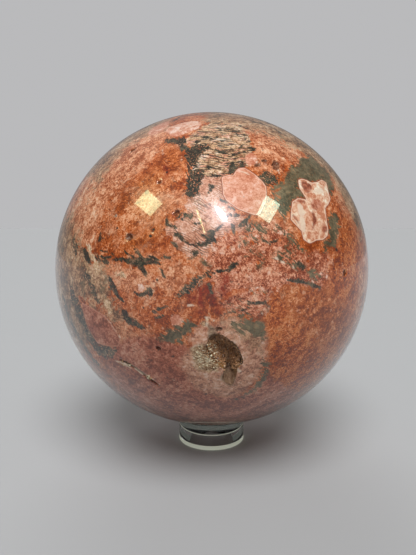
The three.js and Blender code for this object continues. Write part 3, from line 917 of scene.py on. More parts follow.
def make_piece(name: str, points: np.ndarray, faces: np.ndarray, smooth: bool) -> bpy.types.Object:
    """Makes a mesh object from points in millimetres, with its place in its mesh.

    Args:
        name: the piece's name.
        points: its places, three columns, in millimetres.
        faces: rows of corners, all with as many corners.
        smooth: whether its faces shade smoothly.

    Returns:
        The new object.
    """
    mesh = bpy.data.meshes.new(name)
    mesh.from_pydata((points * MM).tolist(), [], faces.tolist())
    mesh.polygons.foreach_set("use_smooth", np.full(len(mesh.polygons), smooth))
    mesh.update()
    piece = bpy.data.objects.new(name, mesh)
    bpy.context.scene.collection.objects.link(piece)
    return piece


def keep_values(piece: bpy.types.Object, name: str, values: np.ndarray) -> None:
    """Keeps one number, or one row of three, for each point of a piece's mesh.

    Args:
        piece: the piece.
        name: the attribute's name.
        values: one value or one row for each point.
    """
    kind, key = ("FLOAT", "value") if values.ndim == 1 else ("FLOAT_VECTOR", "vector")
    attribute = piece.data.attributes.new(name, kind, "POINT")
    attribute.data.foreach_set(key, values.astype(np.float32).ravel())


def fasten(piece: bpy.types.Object, node: str, material: bpy.types.Material) -> None:
    """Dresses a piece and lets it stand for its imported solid.

    Args:
        piece: the piece.
        node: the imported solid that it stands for.
        material: its finish.
    """
    piece.data.materials.append(material)
    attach(piece, "root")
    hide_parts(node)
    log.info("%s: %d faces", piece.name, len(piece.data.polygons))


@dataclass(frozen=True)
class Cloud:
    """One soft noise: its lumps in each unit of length, and how it is detailed and bent."""

    scale: float
    detail: float = 2.0
    roughness: float = 0.5
    distortion: float = 0.0


class Graph:
    """Adds nodes to one tree. Each method returns the socket that holds its result."""

    def __init__(self, tree: bpy.types.NodeTree) -> None:
        """Works on one tree."""
        self.tree = tree

    def node(self, kind: str, **settings) -> bpy.types.Node:
        """Adds a node and sets its options by name.

        Args:
            kind: the node's type.
            settings: its options.

        Returns:
            The new node.
        """
        made = self.tree.nodes.new(kind)
        for key, value in settings.items():
            setattr(made, key, value)
        return made

    def plug(self, socket: Socket, value: Value) -> None:
        """Joins another node's output to a socket, or writes a plain value or colour in it.

        Args:
            socket: the input.
            value: an output, a number or a colour.
        """
        if isinstance(value, Socket):
            self.tree.links.new(value, socket)
        elif socket.type == "RGBA" and len(value) == 3:
            socket.default_value = (*value, 1.0)
        else:
            socket.default_value = value

    def place(self) -> Socket:
        """The place on the piece, in metres."""
        return self.node("ShaderNodeTexCoord").outputs["Object"]

    def attribute(self, name: str, output: str = "Fac") -> Socket:
        """The mesh's own values of one name."""
        return self.node("ShaderNodeAttribute", attribute_name=name).outputs[output]

    def mapped(self, vector: Socket, turn: Triple = (0, 0, 0), scale: Triple = (1, 1, 1)) -> Socket:
        """A vector turned by degrees and stretched.

        Args:
            vector: the vector.
            turn: degrees about each axis.
            scale: how far each axis is stretched.

        Returns:
            The new vector.
        """
        made = self.node("ShaderNodeMapping", vector_type="TEXTURE")
        self.plug(made.inputs["Vector"], vector)
        made.inputs["Rotation"].default_value = [math.radians(t) for t in turn]
        made.inputs["Scale"].default_value = scale
        return made.outputs["Vector"]

    def cloud(self, vector: Socket, cloud: Cloud) -> Socket:
        """Soft noise of one kind."""
        return self.noise(vector, cloud.scale, cloud.detail, cloud.roughness, cloud.distortion)

    def noise(self, vector: Socket, scale: Value, detail: float = 2.0, roughness: float = 0.5,
              distortion: float = 0.0) -> Socket:
        """Soft noise from about 0.2 to 0.8.

        Args:
            vector: where it is looked up.
            scale: lumps in each unit of length.
            detail: how many finer sizes it has.
            roughness: how strong those are.
            distortion: how far it is bent.

        Returns:
            The noise.
        """
        made = self.node("ShaderNodeTexNoise")
        self.plug(made.inputs["Vector"], vector)
        self.plug(made.inputs["Scale"], scale)
        made.inputs["Detail"].default_value = detail
        made.inputs["Roughness"].default_value = roughness
        made.inputs["Distortion"].default_value = distortion
        return made.outputs["Fac"]

    def wandering(self, vector: Socket, scale: float, reach: float) -> Socket:
        """A vector moved by soft noise, as far as reach from end to end.

        Args:
            vector: the vector.
            scale: the noise's lumps in each unit of length.
            reach: how far it goes from end to end.

        Returns:
            The moved vector.
        """
        cloud = self.node("ShaderNodeTexNoise")
        self.plug(cloud.inputs["Vector"], vector)
        cloud.inputs["Scale"].default_value = scale
        moved = self.node("ShaderNodeVectorMath", operation="MULTIPLY_ADD")
        for socket, value in zip(moved.inputs, (cloud.outputs["Color"], (reach, reach, reach), vector)):
            self.plug(socket, value)
        return moved.outputs["Vector"]

    def part(self, vector: Socket, axis: str) -> Socket:
        """A vector's X, Y or Z.

        Args:
            vector: the vector.
            axis: X, Y or Z.

        Returns:
            The number.
        """
        made = self.node("ShaderNodeSeparateXYZ")
        self.plug(made.inputs[0], vector)
        return made.outputs[axis]

    def cells(self, vector: Socket, scale: Value) -> bpy.types.Node:
        """A Voronoi node, with a distance and a random colour for each cell.

        Args:
            vector: where it is looked up.
            scale: cells in each unit of length.

        Returns:
            The node.
        """
        made = self.node("ShaderNodeTexVoronoi")
        self.plug(made.inputs["Vector"], vector)
        self.plug(made.inputs["Scale"], scale)
        return made

    def math(self, operation: str, *values: Value, clamp: bool = False) -> Socket:
        """One sum of up to three values.

        Args:
            operation: what it does.
            values: what it does it to.
            clamp: whether the result stays from 0 to 1.

        Returns:
            The result.
        """
        made = self.node("ShaderNodeMath", operation=operation, use_clamp=clamp)
        for socket, value in zip(made.inputs, values):
            self.plug(socket, value)
        return made.outputs[0]

    def step(self, value: Socket, low: float, high: float, to_low: float = 0.0,
             to_high: float = 1.0) -> Socket:
        """A smooth step between two values, and the other way round where low is the higher one.

        Args:
            value: the value.
            low: where the step starts.
            high: where it ends.
            to_low: the result up to its start.
            to_high: the result from its end.

        Returns:
            The result.
        """
        made = self.node("ShaderNodeMapRange", interpolation_type="SMOOTHSTEP")
        for key, number in (("Value", value), ("From Min", low), ("From Max", high),
                            ("To Min", to_low), ("To Max", to_high)):
            self.plug(made.inputs[key], number)
        return made.outputs["Result"]

    def mix(self, share: Value, first: Value, second: Value, blend: str = "MIX") -> Socket:
        """Two colours mixed, by a share from 0 to 1.

        Args:
            share: the second colour's share.
            first: a colour.
            second: the colour mixed with it.
            blend: how they are mixed.

        Returns:
            The mixture.
        """
        made = self.node("ShaderNodeMix", data_type="RGBA", blend_type=blend, clamp_factor=True)
        inputs = {socket.identifier: socket for socket in made.inputs}
        self.plug(inputs["Factor_Float"], share)
        self.plug(inputs["A_Color"], first)
        self.plug(inputs["B_Color"], second)
        return next(s for s in made.outputs if s.identifier == "Result_Color")

    def channels(self, colour: Socket) -> list[Socket]:
        """A colour's red, green and blue.

        Args:
            colour: the colour.

        Returns:
            Three numbers.
        """
        made = self.node("ShaderNodeSeparateColor")
        self.plug(made.inputs[0], colour)
        return list(made.outputs)

    def group(self, tree: bpy.types.NodeTree, **values: Value) -> bpy.types.Node:
        """Places a node group and fills its inputs, whose names have spaces for underscores.

        Args:
            tree: the group.
            values: what its inputs get.

        Returns:
            The new node.
        """
        made = self.node("ShaderNodeGroup", node_tree=tree)
        for key, value in values.items():
            self.plug(made.inputs[key.replace("_", " ").capitalize()], value)
        return made


def new_material(name: str) -> tuple:
    """Makes a material.

    Args:
        name: its name.

    Returns:
        The material, a Graph on its tree and its shader's inputs by name.
    """
    material = bpy.data.materials.new(name)
    material.use_nodes = True
    tree = material.node_tree
    return material, Graph(tree), tree.nodes["Principled BSDF"].inputs


def new_group(name: str, inputs: dict[str, str], outputs: dict[str, str]) -> tuple:
    """Makes an empty shader node group with named sockets.

    Args:
        name: the group's name.
        inputs: for each input, the end of its socket's type, such as Float.
        outputs: the same for each output.

    Returns:
        The tree, a Graph on it, its input node's outputs and its output node's inputs.
    """
    tree = bpy.data.node_groups.new(name, "ShaderNodeTree")
    for key, kind in inputs.items():
        tree.interface.new_socket(key, in_out="INPUT", socket_type="NodeSocket" + kind)
    for key, kind in outputs.items():
        tree.interface.new_socket(key, in_out="OUTPUT", socket_type="NodeSocket" + kind)
    graph = Graph(tree)
    return tree, graph, graph.node("NodeGroupInput").outputs, graph.node("NodeGroupOutput").inputs


def patch_edge_group() -> bpy.types.NodeTree:
    """Cuts a signed distance into a crisp ragged mask: the distance plus noise, over a softness.

    Returns:
        The group, which gives a share from 0 to 1.
    """
    tree, g, given, made = new_group(
        "patch_edge", {"Field": "Float", "Noise": "Float", "Reach": "Float", "Softness": "Float"},
        {"Mask": "Float"},
    )
    swing = g.math("MULTIPLY", g.math("SUBTRACT", given["Noise"], 0.5), given["Reach"])
    shifted = g.math("ADD", given["Field"], swing)
    g.plug(made["Mask"], g.math("ADD", g.math("DIVIDE", shifted, given["Softness"]), 0.5, clamp=True))
    return tree


@dataclass(frozen=True)
class Mottle:
    """How the rock group mottles its four colours.

    Each noise has its lumps in each grain. What they add up to picks the colour, and each span of
    it is where a colour starts to show and where it shows in full.
    """

    fine: Cloud = Cloud(1.0, 2.0, 0.5, 1.2)
    broad: Cloud = Cloud(0.2, 3.0, 0.55, 0.6)
    curls: Cloud = Cloud(0.7, 1.0, 0.5, 3.0)
    streak_turn: Triple = (0, -38, 0)
    streak_stretch: Triple = (1.7, 1.0, 1.0)
    strand_width: Span = (0.015, 0.08)
    strand_levels: Pair = (0.7, -0.3)
    fine_share: float = 0.95
    broad_share: float = 1.0
    offset: float = -0.23
    grain_share: float = 0.18
    base_values: Span = (0.66, 0.80)
    bright_values: Span = (0.82, 0.95)
    fleck_values: Span = (0.99, 1.08)

    def build(self) -> bpy.types.NodeTree:
        """Makes the group: two sizes of noise, curled strands and a value for each grain.

        Returns:
            The group, which gives a colour.
        """
        tree, g, given, made = new_group(
            "mottled_rock",
            {"Vector": "Vector", "Grain": "Float", "Curl": "Float", "Deep": "Color", "Base": "Color",
             "Bright": "Color", "Fleck": "Color"},
            {"Color": "Color"},
        )
        place, grain = given["Vector"], given["Grain"]
        fine = self.noise(g, place, grain, self.fine)
        streaked = g.mapped(place, turn=self.streak_turn, scale=self.streak_stretch)
        broad = self.noise(g, streaked, grain, self.broad)
        curls = self.noise(g, place, grain, self.curls)
        off_middle = g.math("ABSOLUTE", g.math("SUBTRACT", curls, 0.5))
        strand = g.step(off_middle, *self.strand_width, *self.strand_levels)
        each_grain = g.channels(g.cells(place, grain).outputs["Color"])[0]
        value = g.math("MULTIPLY_ADD", fine, self.fine_share,
                       g.math("MULTIPLY_ADD", broad, self.broad_share, self.offset))
        value = g.math("MULTIPLY_ADD", each_grain, self.grain_share, value)
        value = g.math("MULTIPLY_ADD", strand, given["Curl"], value)
        colour = g.mix(g.step(value, *self.base_values), given["Deep"], given["Base"])
        colour = g.mix(g.step(value, *self.bright_values), colour, given["Bright"])
        g.plug(made["Color"], g.mix(g.step(value, *self.fleck_values), colour, given["Fleck"]))
        return tree

    def noise(self, g: Graph, place: Socket, grain: Socket, cloud: Cloud) -> Socket:
        """Noise whose lumps go with the grain."""
        scale = g.math("MULTIPLY", grain, cloud.scale)
        return g.noise(place, scale, cloud.detail, cloud.roughness, cloud.distortion)


def crystal_gloss_group() -> bpy.types.NodeTree:
    """Bump height of broken crystal faces: flat cells at random levels.

    Returns:
        The group, which gives a height.
    """
    tree, g, given, made = new_group(
        "crystal_faces", {"Vector": "Vector", "Grain": "Float"}, {"Height": "Float"}
    )
    cells = g.cells(given["Vector"], given["Grain"])
    level = g.channels(cells.outputs["Color"])[1]
    fine = g.noise(given["Vector"], g.math("MULTIPLY", given["Grain"], 2.0), detail=2.0)
    g.plug(made["Height"], g.math("MULTIPLY_ADD", level, 0.7, fine))
    return tree


class Groups:
    """The node groups that the materials share, each built once."""

    def __init__(self) -> None:
        """Builds each group."""
        self.edge = patch_edge_group()
        self.rock = Mottle().build()
        self.crystal = crystal_gloss_group()


@dataclass(frozen=True)
class RockTone:
    """Four colours of one kind of rock, from deep to fleck, its grains in each metre and its curls."""

    deep: Colour
    base: Colour
    bright: Colour
    fleck: Colour
    grain: float
    curl: float = 0.1


def rock_tone(*colours: tuple[int, int, int], grain: float, curl: float = 0.1) -> RockTone:
    """A rock from its four colours as seen on a screen."""
    return RockTone(*(srgb(*colour) for colour in colours), grain, curl)


ORANGE = rock_tone((126, 56, 30), (186, 97, 57), (212, 132, 91), (236, 178, 142), grain=1050.0, curl=0.16)
PEACH = rock_tone((156, 86, 56), (213, 141, 106), (234, 173, 137), (244, 206, 176), grain=950.0, curl=0.16)
BROWN_ORANGE = rock_tone((108, 40, 14), (178, 80, 34), (208, 114, 60), (230, 162, 116), grain=1150.0,
                         curl=0.28)
CHIP_ROCK = rock_tone((140, 104, 74), (204, 168, 134), (226, 200, 166), (246, 234, 206), grain=900.0)
GOLD = rock_tone((126, 56, 26), (182, 98, 56), (208, 128, 84), (232, 172, 132), grain=900.0, curl=0.16)
TAN_ROCK = rock_tone((104, 74, 56), (168, 124, 94), (200, 158, 124), (222, 190, 160), grain=900.0, curl=0.16)
SALMON = rock_tone((124, 60, 42), (176, 101, 77), (200, 128, 103), (220, 164, 140), grain=800.0, curl=0.14)
HALO_ROCK = rock_tone((152, 100, 80), (206, 148, 121), (226, 177, 150), (240, 206, 186), grain=700.0)
MATRIX_ROCK = rock_tone((30, 28, 20), (56, 52, 40), (80, 74, 58), (118, 102, 80), grain=1100.0)
OLIVE_ROCK = rock_tone((74, 66, 48), (98, 88, 66), (114, 103, 80), (138, 122, 94), grain=800.0, curl=0.05)
COBBLE_ROCK = rock_tone((200, 124, 96), (222, 156, 128), (234, 176, 152), (242, 200, 180), grain=1100.0,
                        curl=0.05)
PINK_ROCK = rock_tone((200, 128, 102), (222, 160, 134), (234, 190, 168), (244, 216, 202), grain=800.0)
BROWN_ROCK = rock_tone((122, 60, 42), (174, 100, 76), (198, 128, 104), (220, 164, 140), grain=900.0)
BLOTCH_ROCK = rock_tone((204, 136, 106), (230, 178, 150), (244, 212, 184), (252, 240, 220), grain=520.0)
BLOTCH_SHADE = rock_tone((120, 56, 40), (168, 96, 74), (192, 124, 100), (214, 156, 134), grain=700.0)
RED_ROCK = rock_tone((122, 54, 36), (190, 110, 81), (218, 146, 115), (240, 192, 164), grain=950.0, curl=0.25)
FLAME_ROCK = rock_tone((134, 54, 26), (182, 85, 47), (206, 114, 72), (226, 158, 120), grain=1200.0)
CREAM_ROCK = rock_tone((128, 92, 66), (204, 164, 128), (230, 198, 164), (246, 226, 204), grain=900.0)
LOWER_LAYERS = rock_tone((166, 108, 84), (208, 150, 124), (224, 176, 152), (242, 210, 194), grain=900.0,
                         curl=0.12)


@dataclass(frozen=True)
class Edge:
    """How a patch ends: how far noise moves its edge from end to end, and how wide the edge is.

    Both are millimetres, and so is how far the patch is grown. A frayed edge follows slanting
    strands, and the others follow ragged lumps.
    """

    reach: float
    softness: float
    grown: float = 0.0
    frayed: bool = False


EDGES: dict[Layer, Edge] = {
    Layer.PEACH: Edge(22.0, 3.0),
    Layer.GRANULAR: Edge(10.0, 2.0),
    Layer.RUST: Edge(14.0, 4.0),
    Layer.TAN: Edge(26.0, 3.0),
    Layer.SALMON: Edge(8.0, 1.6),
    Layer.BRECCIA: Edge(12.0, 1.0),
    Layer.HALO: Edge(6.0, 1.8),
    Layer.TANNED: Edge(14.0, 2.5),
    Layer.CREAM: Edge(8.0, 0.6),
    Layer.STAIN: Edge(9.0, 2.4),
    Layer.LAMELLAR: Edge(9.0, 0.4),
    Layer.PINK: Edge(3.0, 0.35),
    Layer.OLIVE: Edge(12.0, 0.5, frayed=True),
    Layer.MATRIX: Edge(11.0, 0.3, 0.1, frayed=True),
    Layer.VEIN: Edge(3.2, 0.3, 0.05, frayed=True),
    Layer.FLAME: Edge(2.0, 0.4),
    Layer.BROWN: Edge(1.2, 0.3),
    Layer.COBBLE: Edge(0.3, 0.15),
    Layer.BLOTCH: Edge(0.3, 0.15),
    Layer.BLOTCH_BROWN: Edge(2.6, 0.7),
    Layer.PALE_AND_GLINTS: Edge(2.4, 0.4),
    Layer.SPOT: Edge(0.8, 0.3),
    Layer.CHIP: Edge(6.0, 1.6),
    Layer.WALL_SHADE: Edge(1.0, 1.2),
    Layer.TONGUE: Edge(1.6, 0.8),
    Layer.SEAM_GLINT: Edge(0.6, 0.2),
}

# Specks of matrix that lie loose beside the veins
SHED_EDGE = Edge(22.0, 0.5, -1.9, frayed=True)

# Dark lines around the cobble and the blotch, which are grown by their width
SHADE_EDGES: dict[Layer, Edge] = {
    Layer.COBBLE: Edge(0.3, 0.15, 0.25),
    Layer.BLOTCH: Edge(0.3, 0.15, 0.3),
}

# How wide the edges of a pale rim line are, in millimetres
RIM_SOFTNESS = 0.16


class RockPainter:
    """Lays one rock over another in the stone's material."""

    BROAD = Cloud(95.0, 4.0, 0.6)
    RAGGED = Cloud(300.0, 5.0, 0.75, 0.8)
    STRANDS = Cloud(1100.0, 2.0, 0.6, 1.0)
    STRAND_TURN = (15, 40, 0)
    STRAND_STRETCH = (3.2, 3.2, 1.0)
    STRAND_SHARE = 0.6

    def __init__(self, g: Graph, groups: Groups, base: RockTone) -> None:
        """Makes the noise that moves edges, and lays the first rock.

        Args:
            g: the graph of the stone's material.
            groups: the shared groups.
            base: the rock that lies under all the others.
        """
        self.g = g
        self.groups = groups
        self.place = g.place()
        self.broad = g.cloud(self.place, self.BROAD)
        self.ragged = g.cloud(self.place, self.RAGGED)
        slanted = g.mapped(self.place, turn=self.STRAND_TURN, scale=self.STRAND_STRETCH)
        lumps = g.math("MULTIPLY", self.ragged, 1 - self.STRAND_SHARE)
        self.frayed = g.math("MULTIPLY_ADD", g.cloud(slanted, self.STRANDS), self.STRAND_SHARE, lumps)
        self.colour = self.rock(base)

    def rock(self, tone: RockTone) -> Socket:
        """The mottled colours of one rock.

        Args:
            tone: its colours and grain.

        Returns:
            The colour.
        """
        made = self.g.group(self.groups.rock, vector=self.place, grain=tone.grain, deep=tone.deep,
                            curl=tone.curl, base=tone.base, bright=tone.bright, fleck=tone.fleck)
        return made.outputs["Color"]

    def mask(self, layer: Layer, edge: Edge | None = None) -> Socket:
        """Where a layer lies.

        Args:
            layer: the layer, whose field is on the mesh.
            edge: how it ends, or the layer's own edge.

        Returns:
            A share from 0 to 1.
        """
        edge = edge or EDGES[layer]
        field = self.g.math("ADD", self.g.attribute(layer.value), edge.grown)
        made = self.g.group(self.groups.edge, field=field, noise=self.frayed if edge.frayed else self.ragged,
                            reach=edge.reach, softness=edge.softness)
        return made.outputs["Mask"]

    def cover(self, mask: Socket, colour: Value, strength: float = 1.0) -> None:
        """Lays a colour over what is there, by a share from 0 to 1 times a strength."""
        share = mask if strength == 1.0 else self.g.math("MULTIPLY", mask, strength)
        self.colour = self.g.mix(share, self.colour, colour)

    def lay(self, layer: Layer, tone: RockTone, strength: float = 1.0) -> None:
        """Lays a rock over what is there, where its layer lies."""
        self.cover(self.mask(layer), self.rock(tone), strength)

    def line_rim(self, layer: Layer, width: float, colour: Colour, strength: float, reach: float) -> None:
        """Draws a line just inside a layer's edge, some millimetres wide.

        Args:
            layer: the layer.
            width: the line's width, in millimetres.
            colour: its colour.
            strength: how much it covers.
            reach: how far noise moves the edge, in millimetres.
        """
        near = self.mask(layer, Edge(reach, RIM_SOFTNESS))
        far = self.mask(layer, Edge(reach, RIM_SOFTNESS, -width))
        self.cover(self.g.math("SUBTRACT", near, far, clamp=True), colour, strength)


@dataclass(frozen=True)
class LamellarRock:
    """The layered rock: cream and pink layers with dark lines and teeth along each area's own run.

    Its places are millimetres along and across the layers. Their third number is the area's tilt in
    degrees, which tells the upper area from the lower one. Each span is where one value starts to
    show and where it shows in full. The bend has its noise's lumps in each millimetre and its
    reach, and each wave has its radians for each tone and for each millimetre across.
    """

    bend: Pair = (0.13, 4.0)
    layers: Cloud = Cloud(1.0, 1.0, distortion=0.3)
    tones: Cloud = Cloud(1.3)
    blots: Cloud = Cloud(0.8, 3.0, 0.6)
    layer_run: Triple = (17.0, 2.6, 1.0)
    tone_run: Triple = (6.0, 1.4, 1.0)
    blot_run: Triple = (4.5, 1.5, 1.0)
    upper_tilts: Span = (-2.0, 2.0)
    cream_tones: Span = (0.50, 0.62)
    pink_tones: Span = (0.62, 0.70)
    tan_tones: Span = (0.36, 0.30)
    matrix_blots: Span = (0.60, 0.63)
    ridge: float = 0.07
    line_blots: Span = (0.42, 0.64)
    line_width: float = 0.030
    line_softness: float = 0.010
    line_places: Span = (0.54, 0.62)
    line_share: float = 0.6
    flow_wave: Pair = (7.0, 6.2)
    flow_blots: float = 4.0
    flow_levels: Span = (2.62, 2.85)
    comb_wave: Pair = (5.0, 8.5)
    comb_levels: Span = (0.35, 0.8)
    comb_blots: Span = (0.44, 0.54)
    comb_share: float = 0.8
    line: Colour = srgb(58, 50, 42)
    comb_line: Colour = srgb(128, 84, 62)

    def colour(self, painter: RockPainter) -> Socket:
        """The layered rock's colour.

        Args:
            painter: lends its graph, its noise and its rocks.

        Returns:
            The colour, which the lamellar layer's mask cuts.
        """
        g = painter.g
        run = g.attribute("lamella_place", "Vector")
        upper = g.step(g.part(run, "Z"), *self.upper_tilts)
        bent = g.wandering(run, *self.bend)
        layers = g.cloud(g.mapped(bent, scale=self.layer_run), self.layers)
        tones = g.cloud(g.mapped(bent, scale=self.tone_run), self.tones)
        blots = g.cloud(g.mapped(bent, scale=self.blot_run), self.blots)
        across = g.part(bent, "Y")
        colour = self.layered(painter, upper, tones)
        kept = g.math("MAXIMUM", upper, g.step(painter.broad, *self.line_places))
        long_lines = g.math("MULTIPLY", self.long_lines(g, layers, blots),
                            g.math("MULTIPLY", kept, self.line_share))
        colour = g.mix(long_lines, colour, self.line)
        flow = g.math("MULTIPLY_ADD", blots, self.flow_blots, self.waves(g, tones, across, self.flow_wave))
        colour = g.mix(g.math("MULTIPLY", g.step(flow, *self.flow_levels), upper), colour, self.line)
        teeth = g.step(self.waves(g, tones, across, self.comb_wave), *self.comb_levels)
        comb = g.math("MULTIPLY", teeth, g.step(blots, *self.comb_blots))
        comb = g.math("MULTIPLY", comb, g.step(upper, 0.0, 1.0, self.comb_share, 0.0))
        colour = g.mix(comb, colour, self.comb_line)
        dark = g.math("MULTIPLY", g.step(blots, *self.matrix_blots), upper)
        return g.mix(dark, colour, painter.rock(MATRIX_ROCK))

    def layered(self, painter: RockPainter, upper: Socket, tones: Socket) -> Socket:
        """The layers' own colours: pink below, cream above, and pink and tan ones among them.

        Args:
            painter: the stone's painter.
            upper: where the upper area is.
            tones: noise stretched along the layers.

        Returns:
            The colour.
        """
        g = painter.g
        cream = g.mix(g.step(tones, *self.cream_tones), painter.rock(CREAM_ROCK), painter.rock(LOWER_LAYERS))
        colour = g.mix(upper, painter.rock(LOWER_LAYERS), cream)
        colour = g.mix(g.step(tones, *self.pink_tones), colour, painter.rock(PINK_ROCK))
        return g.mix(g.step(tones, *self.tan_tones), colour, painter.rock(TAN_ROCK))

    def long_lines(self, g: Graph, layers: Socket, blots: Socket) -> Socket:
        """Lines where the layers' noise turns back, wider where the blots are.

        Args:
            g: the graph.
            layers: fine noise along the layers.
            blots: coarse noise along the layers.

        Returns:
            A share from 0 to 1.
        """
        width = g.step(blots, *self.line_blots, 0.0, self.line_width)
        inside = g.math("SUBTRACT", width, g.math("PINGPONG", layers, self.ridge))
        return g.math("DIVIDE", inside, self.line_softness, clamp=True)

    def waves(self, g: Graph, tones: Socket, across: Socket, wave: Pair) -> Socket:
        """Waves across the layers, from -1 to 1: the sine of the tones and the place, each scaled."""
        by_tone, by_place = wave
        return g.math("SINE", g.math("MULTIPLY_ADD", tones, by_tone, g.math("MULTIPLY", across, by_place)))


@dataclass(frozen=True)
class StoneFinish:
    """The polished calcite: one rock over another, each cut by its own field.

    Each span is where one value starts to show and where it shows in full. The clasts' wander has
    its noise's lumps in each metre and its reach in metres.
    """

    polished_roughness: float = 0.31
    broken_roughness: float = 0.5
    broken_coat: float = 0.15
    coat_roughness: float = 0.035
    stone_ior: float = 1.55
    polish_ior: float = 1.5
    haze: float = 0.35
    richness: float = 1.07
    face_grain: float = 1400.0
    face_height: float = 0.0004
    # Colour of the dark spots, and of the painted shade in the pits, crack and hollow
    dark: Colour = srgb(46, 40, 32)
    stain: Colour = srgb(180, 104, 88)
    pepper: Colour = srgb(96, 48, 30)
    salt: Colour = srgb(226, 178, 148)
    # Colour of the pale grains, and of the painted glints and highlight among them
    pale: Colour = srgb(240, 218, 196)
    rim: Colour = srgb(240, 206, 184)
    rim_shade: Colour = srgb(150, 82, 62)
    hollow_floor: RockTone = rock_tone((100, 72, 46), (140, 102, 64), (166, 124, 80), (196, 158, 114),
                                       grain=900.0)
    hollow_tongue: RockTone = rock_tone((100, 76, 58), (142, 110, 88), (160, 130, 106), (184, 156, 130),
                                        grain=800.0)
    # Painted shade: the dark band along the hollow's upper wall
    hollow_wall_shade: Colour = srgb(52, 40, 30)
    peach_levels: Span = (0.52, 0.64)
    peach_share: float = 0.8
    streaks: Cloud = Cloud(420.0, 4.0, 0.65, 0.9)
    streak_turn: Triple = (0, 12, 0)
    streak_stretch: Triple = (1.0, 1.0, 2.4)
    olive_streaks: Span = (0.57, 0.61)
    cream_streaks: Span = (0.41, 0.37)
    streak_share: float = 0.6
    tanned_share: float = 0.8
    grains: Cloud = Cloud(640.0, distortion=0.8)
    pepper_levels: Span = (0.66, 0.72)
    pepper_share: float = 0.7
    salt_levels: Span = (0.34, 0.28)
    salt_share: float = 0.55
    threads: Cloud = Cloud(210.0, 4.0, 0.62, 1.6)
    thread_width: Span = (0.003, 0.012)
    thread_places: Span = (0.42, 0.56)
    thread_share: float = 0.75
    clast_wander: Pair = (900.0, 0.0016)
    clast_scale: float = 560.0
    clast_spread: float = 0.3
    clast_edge: Span = (0.46, 0.60)
    pink_clasts: Span = (0.70, 0.72)
    orange_clasts: Span = (0.13, 0.11)
    gap_strands: Span = (0.50, 0.54)
    gap_places: Span = (0.48, 0.60)
    specks: Cloud = Cloud(800.0, distortion=2.5)
    speck_levels: Span = (0.58, 0.63)
    speck_share: float = 0.75
    olive_specks: float = 0.3
    vein_specks: float = 0.7
    shed_share: float = 0.8
    flame_share: float = 0.6
    shaded_share: float = 0.9
    # How far the pits, crack and hollow are darkened as painted shade
    pit_shade: float = 0.55
    broken_depths: Span = (0.05, 0.35)
    hollow_depths: Span = (0.02, 0.3)
    lamellae: LamellarRock = LamellarRock()

    def build(self, groups: Groups) -> bpy.types.Material:
        """Makes the material.

        Args:
            groups: the shared node groups.

        Returns:
            The new material.
        """
        material, g, shader = new_material("polished_calcite")
        painter = RockPainter(g, groups, ORANGE)
        self.lay_ground(painter)
        painter.cover(painter.mask(Layer.LAMELLAR), self.lamellae.colour(painter))
        painter.lay(Layer.PINK, PINK_ROCK)
        self.lay_veins(painter)
        self.lay_inclusions(painter)
        broken = self.lay_broken(painter)
        rich = g.node("ShaderNodeHueSaturation")
        rich.inputs["Saturation"].default_value = self.richness
        g.plug(rich.inputs["Color"], painter.colour)
        g.plug(shader["Base Color"], rich.outputs["Color"])
        roughness = g.step(broken, 0, 1, self.polished_roughness, self.broken_roughness)
        g.plug(shader["Roughness"], roughness)
        g.plug(shader["Coat Weight"], g.step(broken, 0, 1, 1.0, self.broken_coat))
        g.plug(shader["IOR"], self.stone_ior)
        g.plug(shader["Specular IOR Level"], self.haze)
        g.plug(shader["Coat Roughness"], self.coat_roughness)
        g.plug(shader["Coat IOR"], self.polish_ior)
        faces = g.group(groups.crystal, vector=painter.place, grain=self.face_grain)
        bump = g.node("ShaderNodeBump")
        g.plug(bump.inputs["Height"], g.math("MULTIPLY", faces.outputs["Height"], broken))
        bump.inputs["Distance"].default_value = self.face_height
        g.plug(shader["Normal"], bump.outputs["Normal"])
        return material

    def lay_ground(self, painter: RockPainter) -> None:
        """The rocks that the others lie in, from peach to cream, the red stain and the small grains.

        Args:
            painter: the stone's painter.
        """
        g = painter.g
        painter.cover(g.step(painter.broad, *self.peach_levels, 0.0, self.peach_share), painter.rock(PEACH))
        painter.lay(Layer.PEACH, PEACH)
        painter.lay(Layer.GRANULAR, BROWN_ORANGE)
        painter.lay(Layer.RUST, GOLD)
        self.lay_tan(painter)
        painter.lay(Layer.SALMON, SALMON)
        painter.cover(painter.mask(Layer.BRECCIA), self.breccia(painter))
        painter.lay(Layer.HALO, HALO_ROCK)
        painter.lay(Layer.TANNED, TAN_ROCK, self.tanned_share)
        painter.lay(Layer.CREAM, CREAM_ROCK)
        painter.cover(painter.mask(Layer.STAIN), g.mix(1.0, painter.colour, self.stain, "MULTIPLY"))
        self.lay_grains(painter)

    def lay_tan(self, painter: RockPainter) -> None:
        """The tan rock along the limb, with upright streaks of olive and cream in it.

        Args:
            painter: the stone's painter.
        """
        g = painter.g
        tan = painter.mask(Layer.TAN)
        painter.cover(tan, painter.rock(TAN_ROCK))
        upright = g.mapped(painter.place, turn=self.streak_turn, scale=self.streak_stretch)
        streaks = g.cloud(upright, self.streaks)
        for levels, tone in ((self.olive_streaks, OLIVE_ROCK), (self.cream_streaks, CREAM_ROCK)):
            share = g.math("MULTIPLY", tan, g.step(streaks, *levels))
            painter.cover(share, painter.rock(tone), self.streak_share)

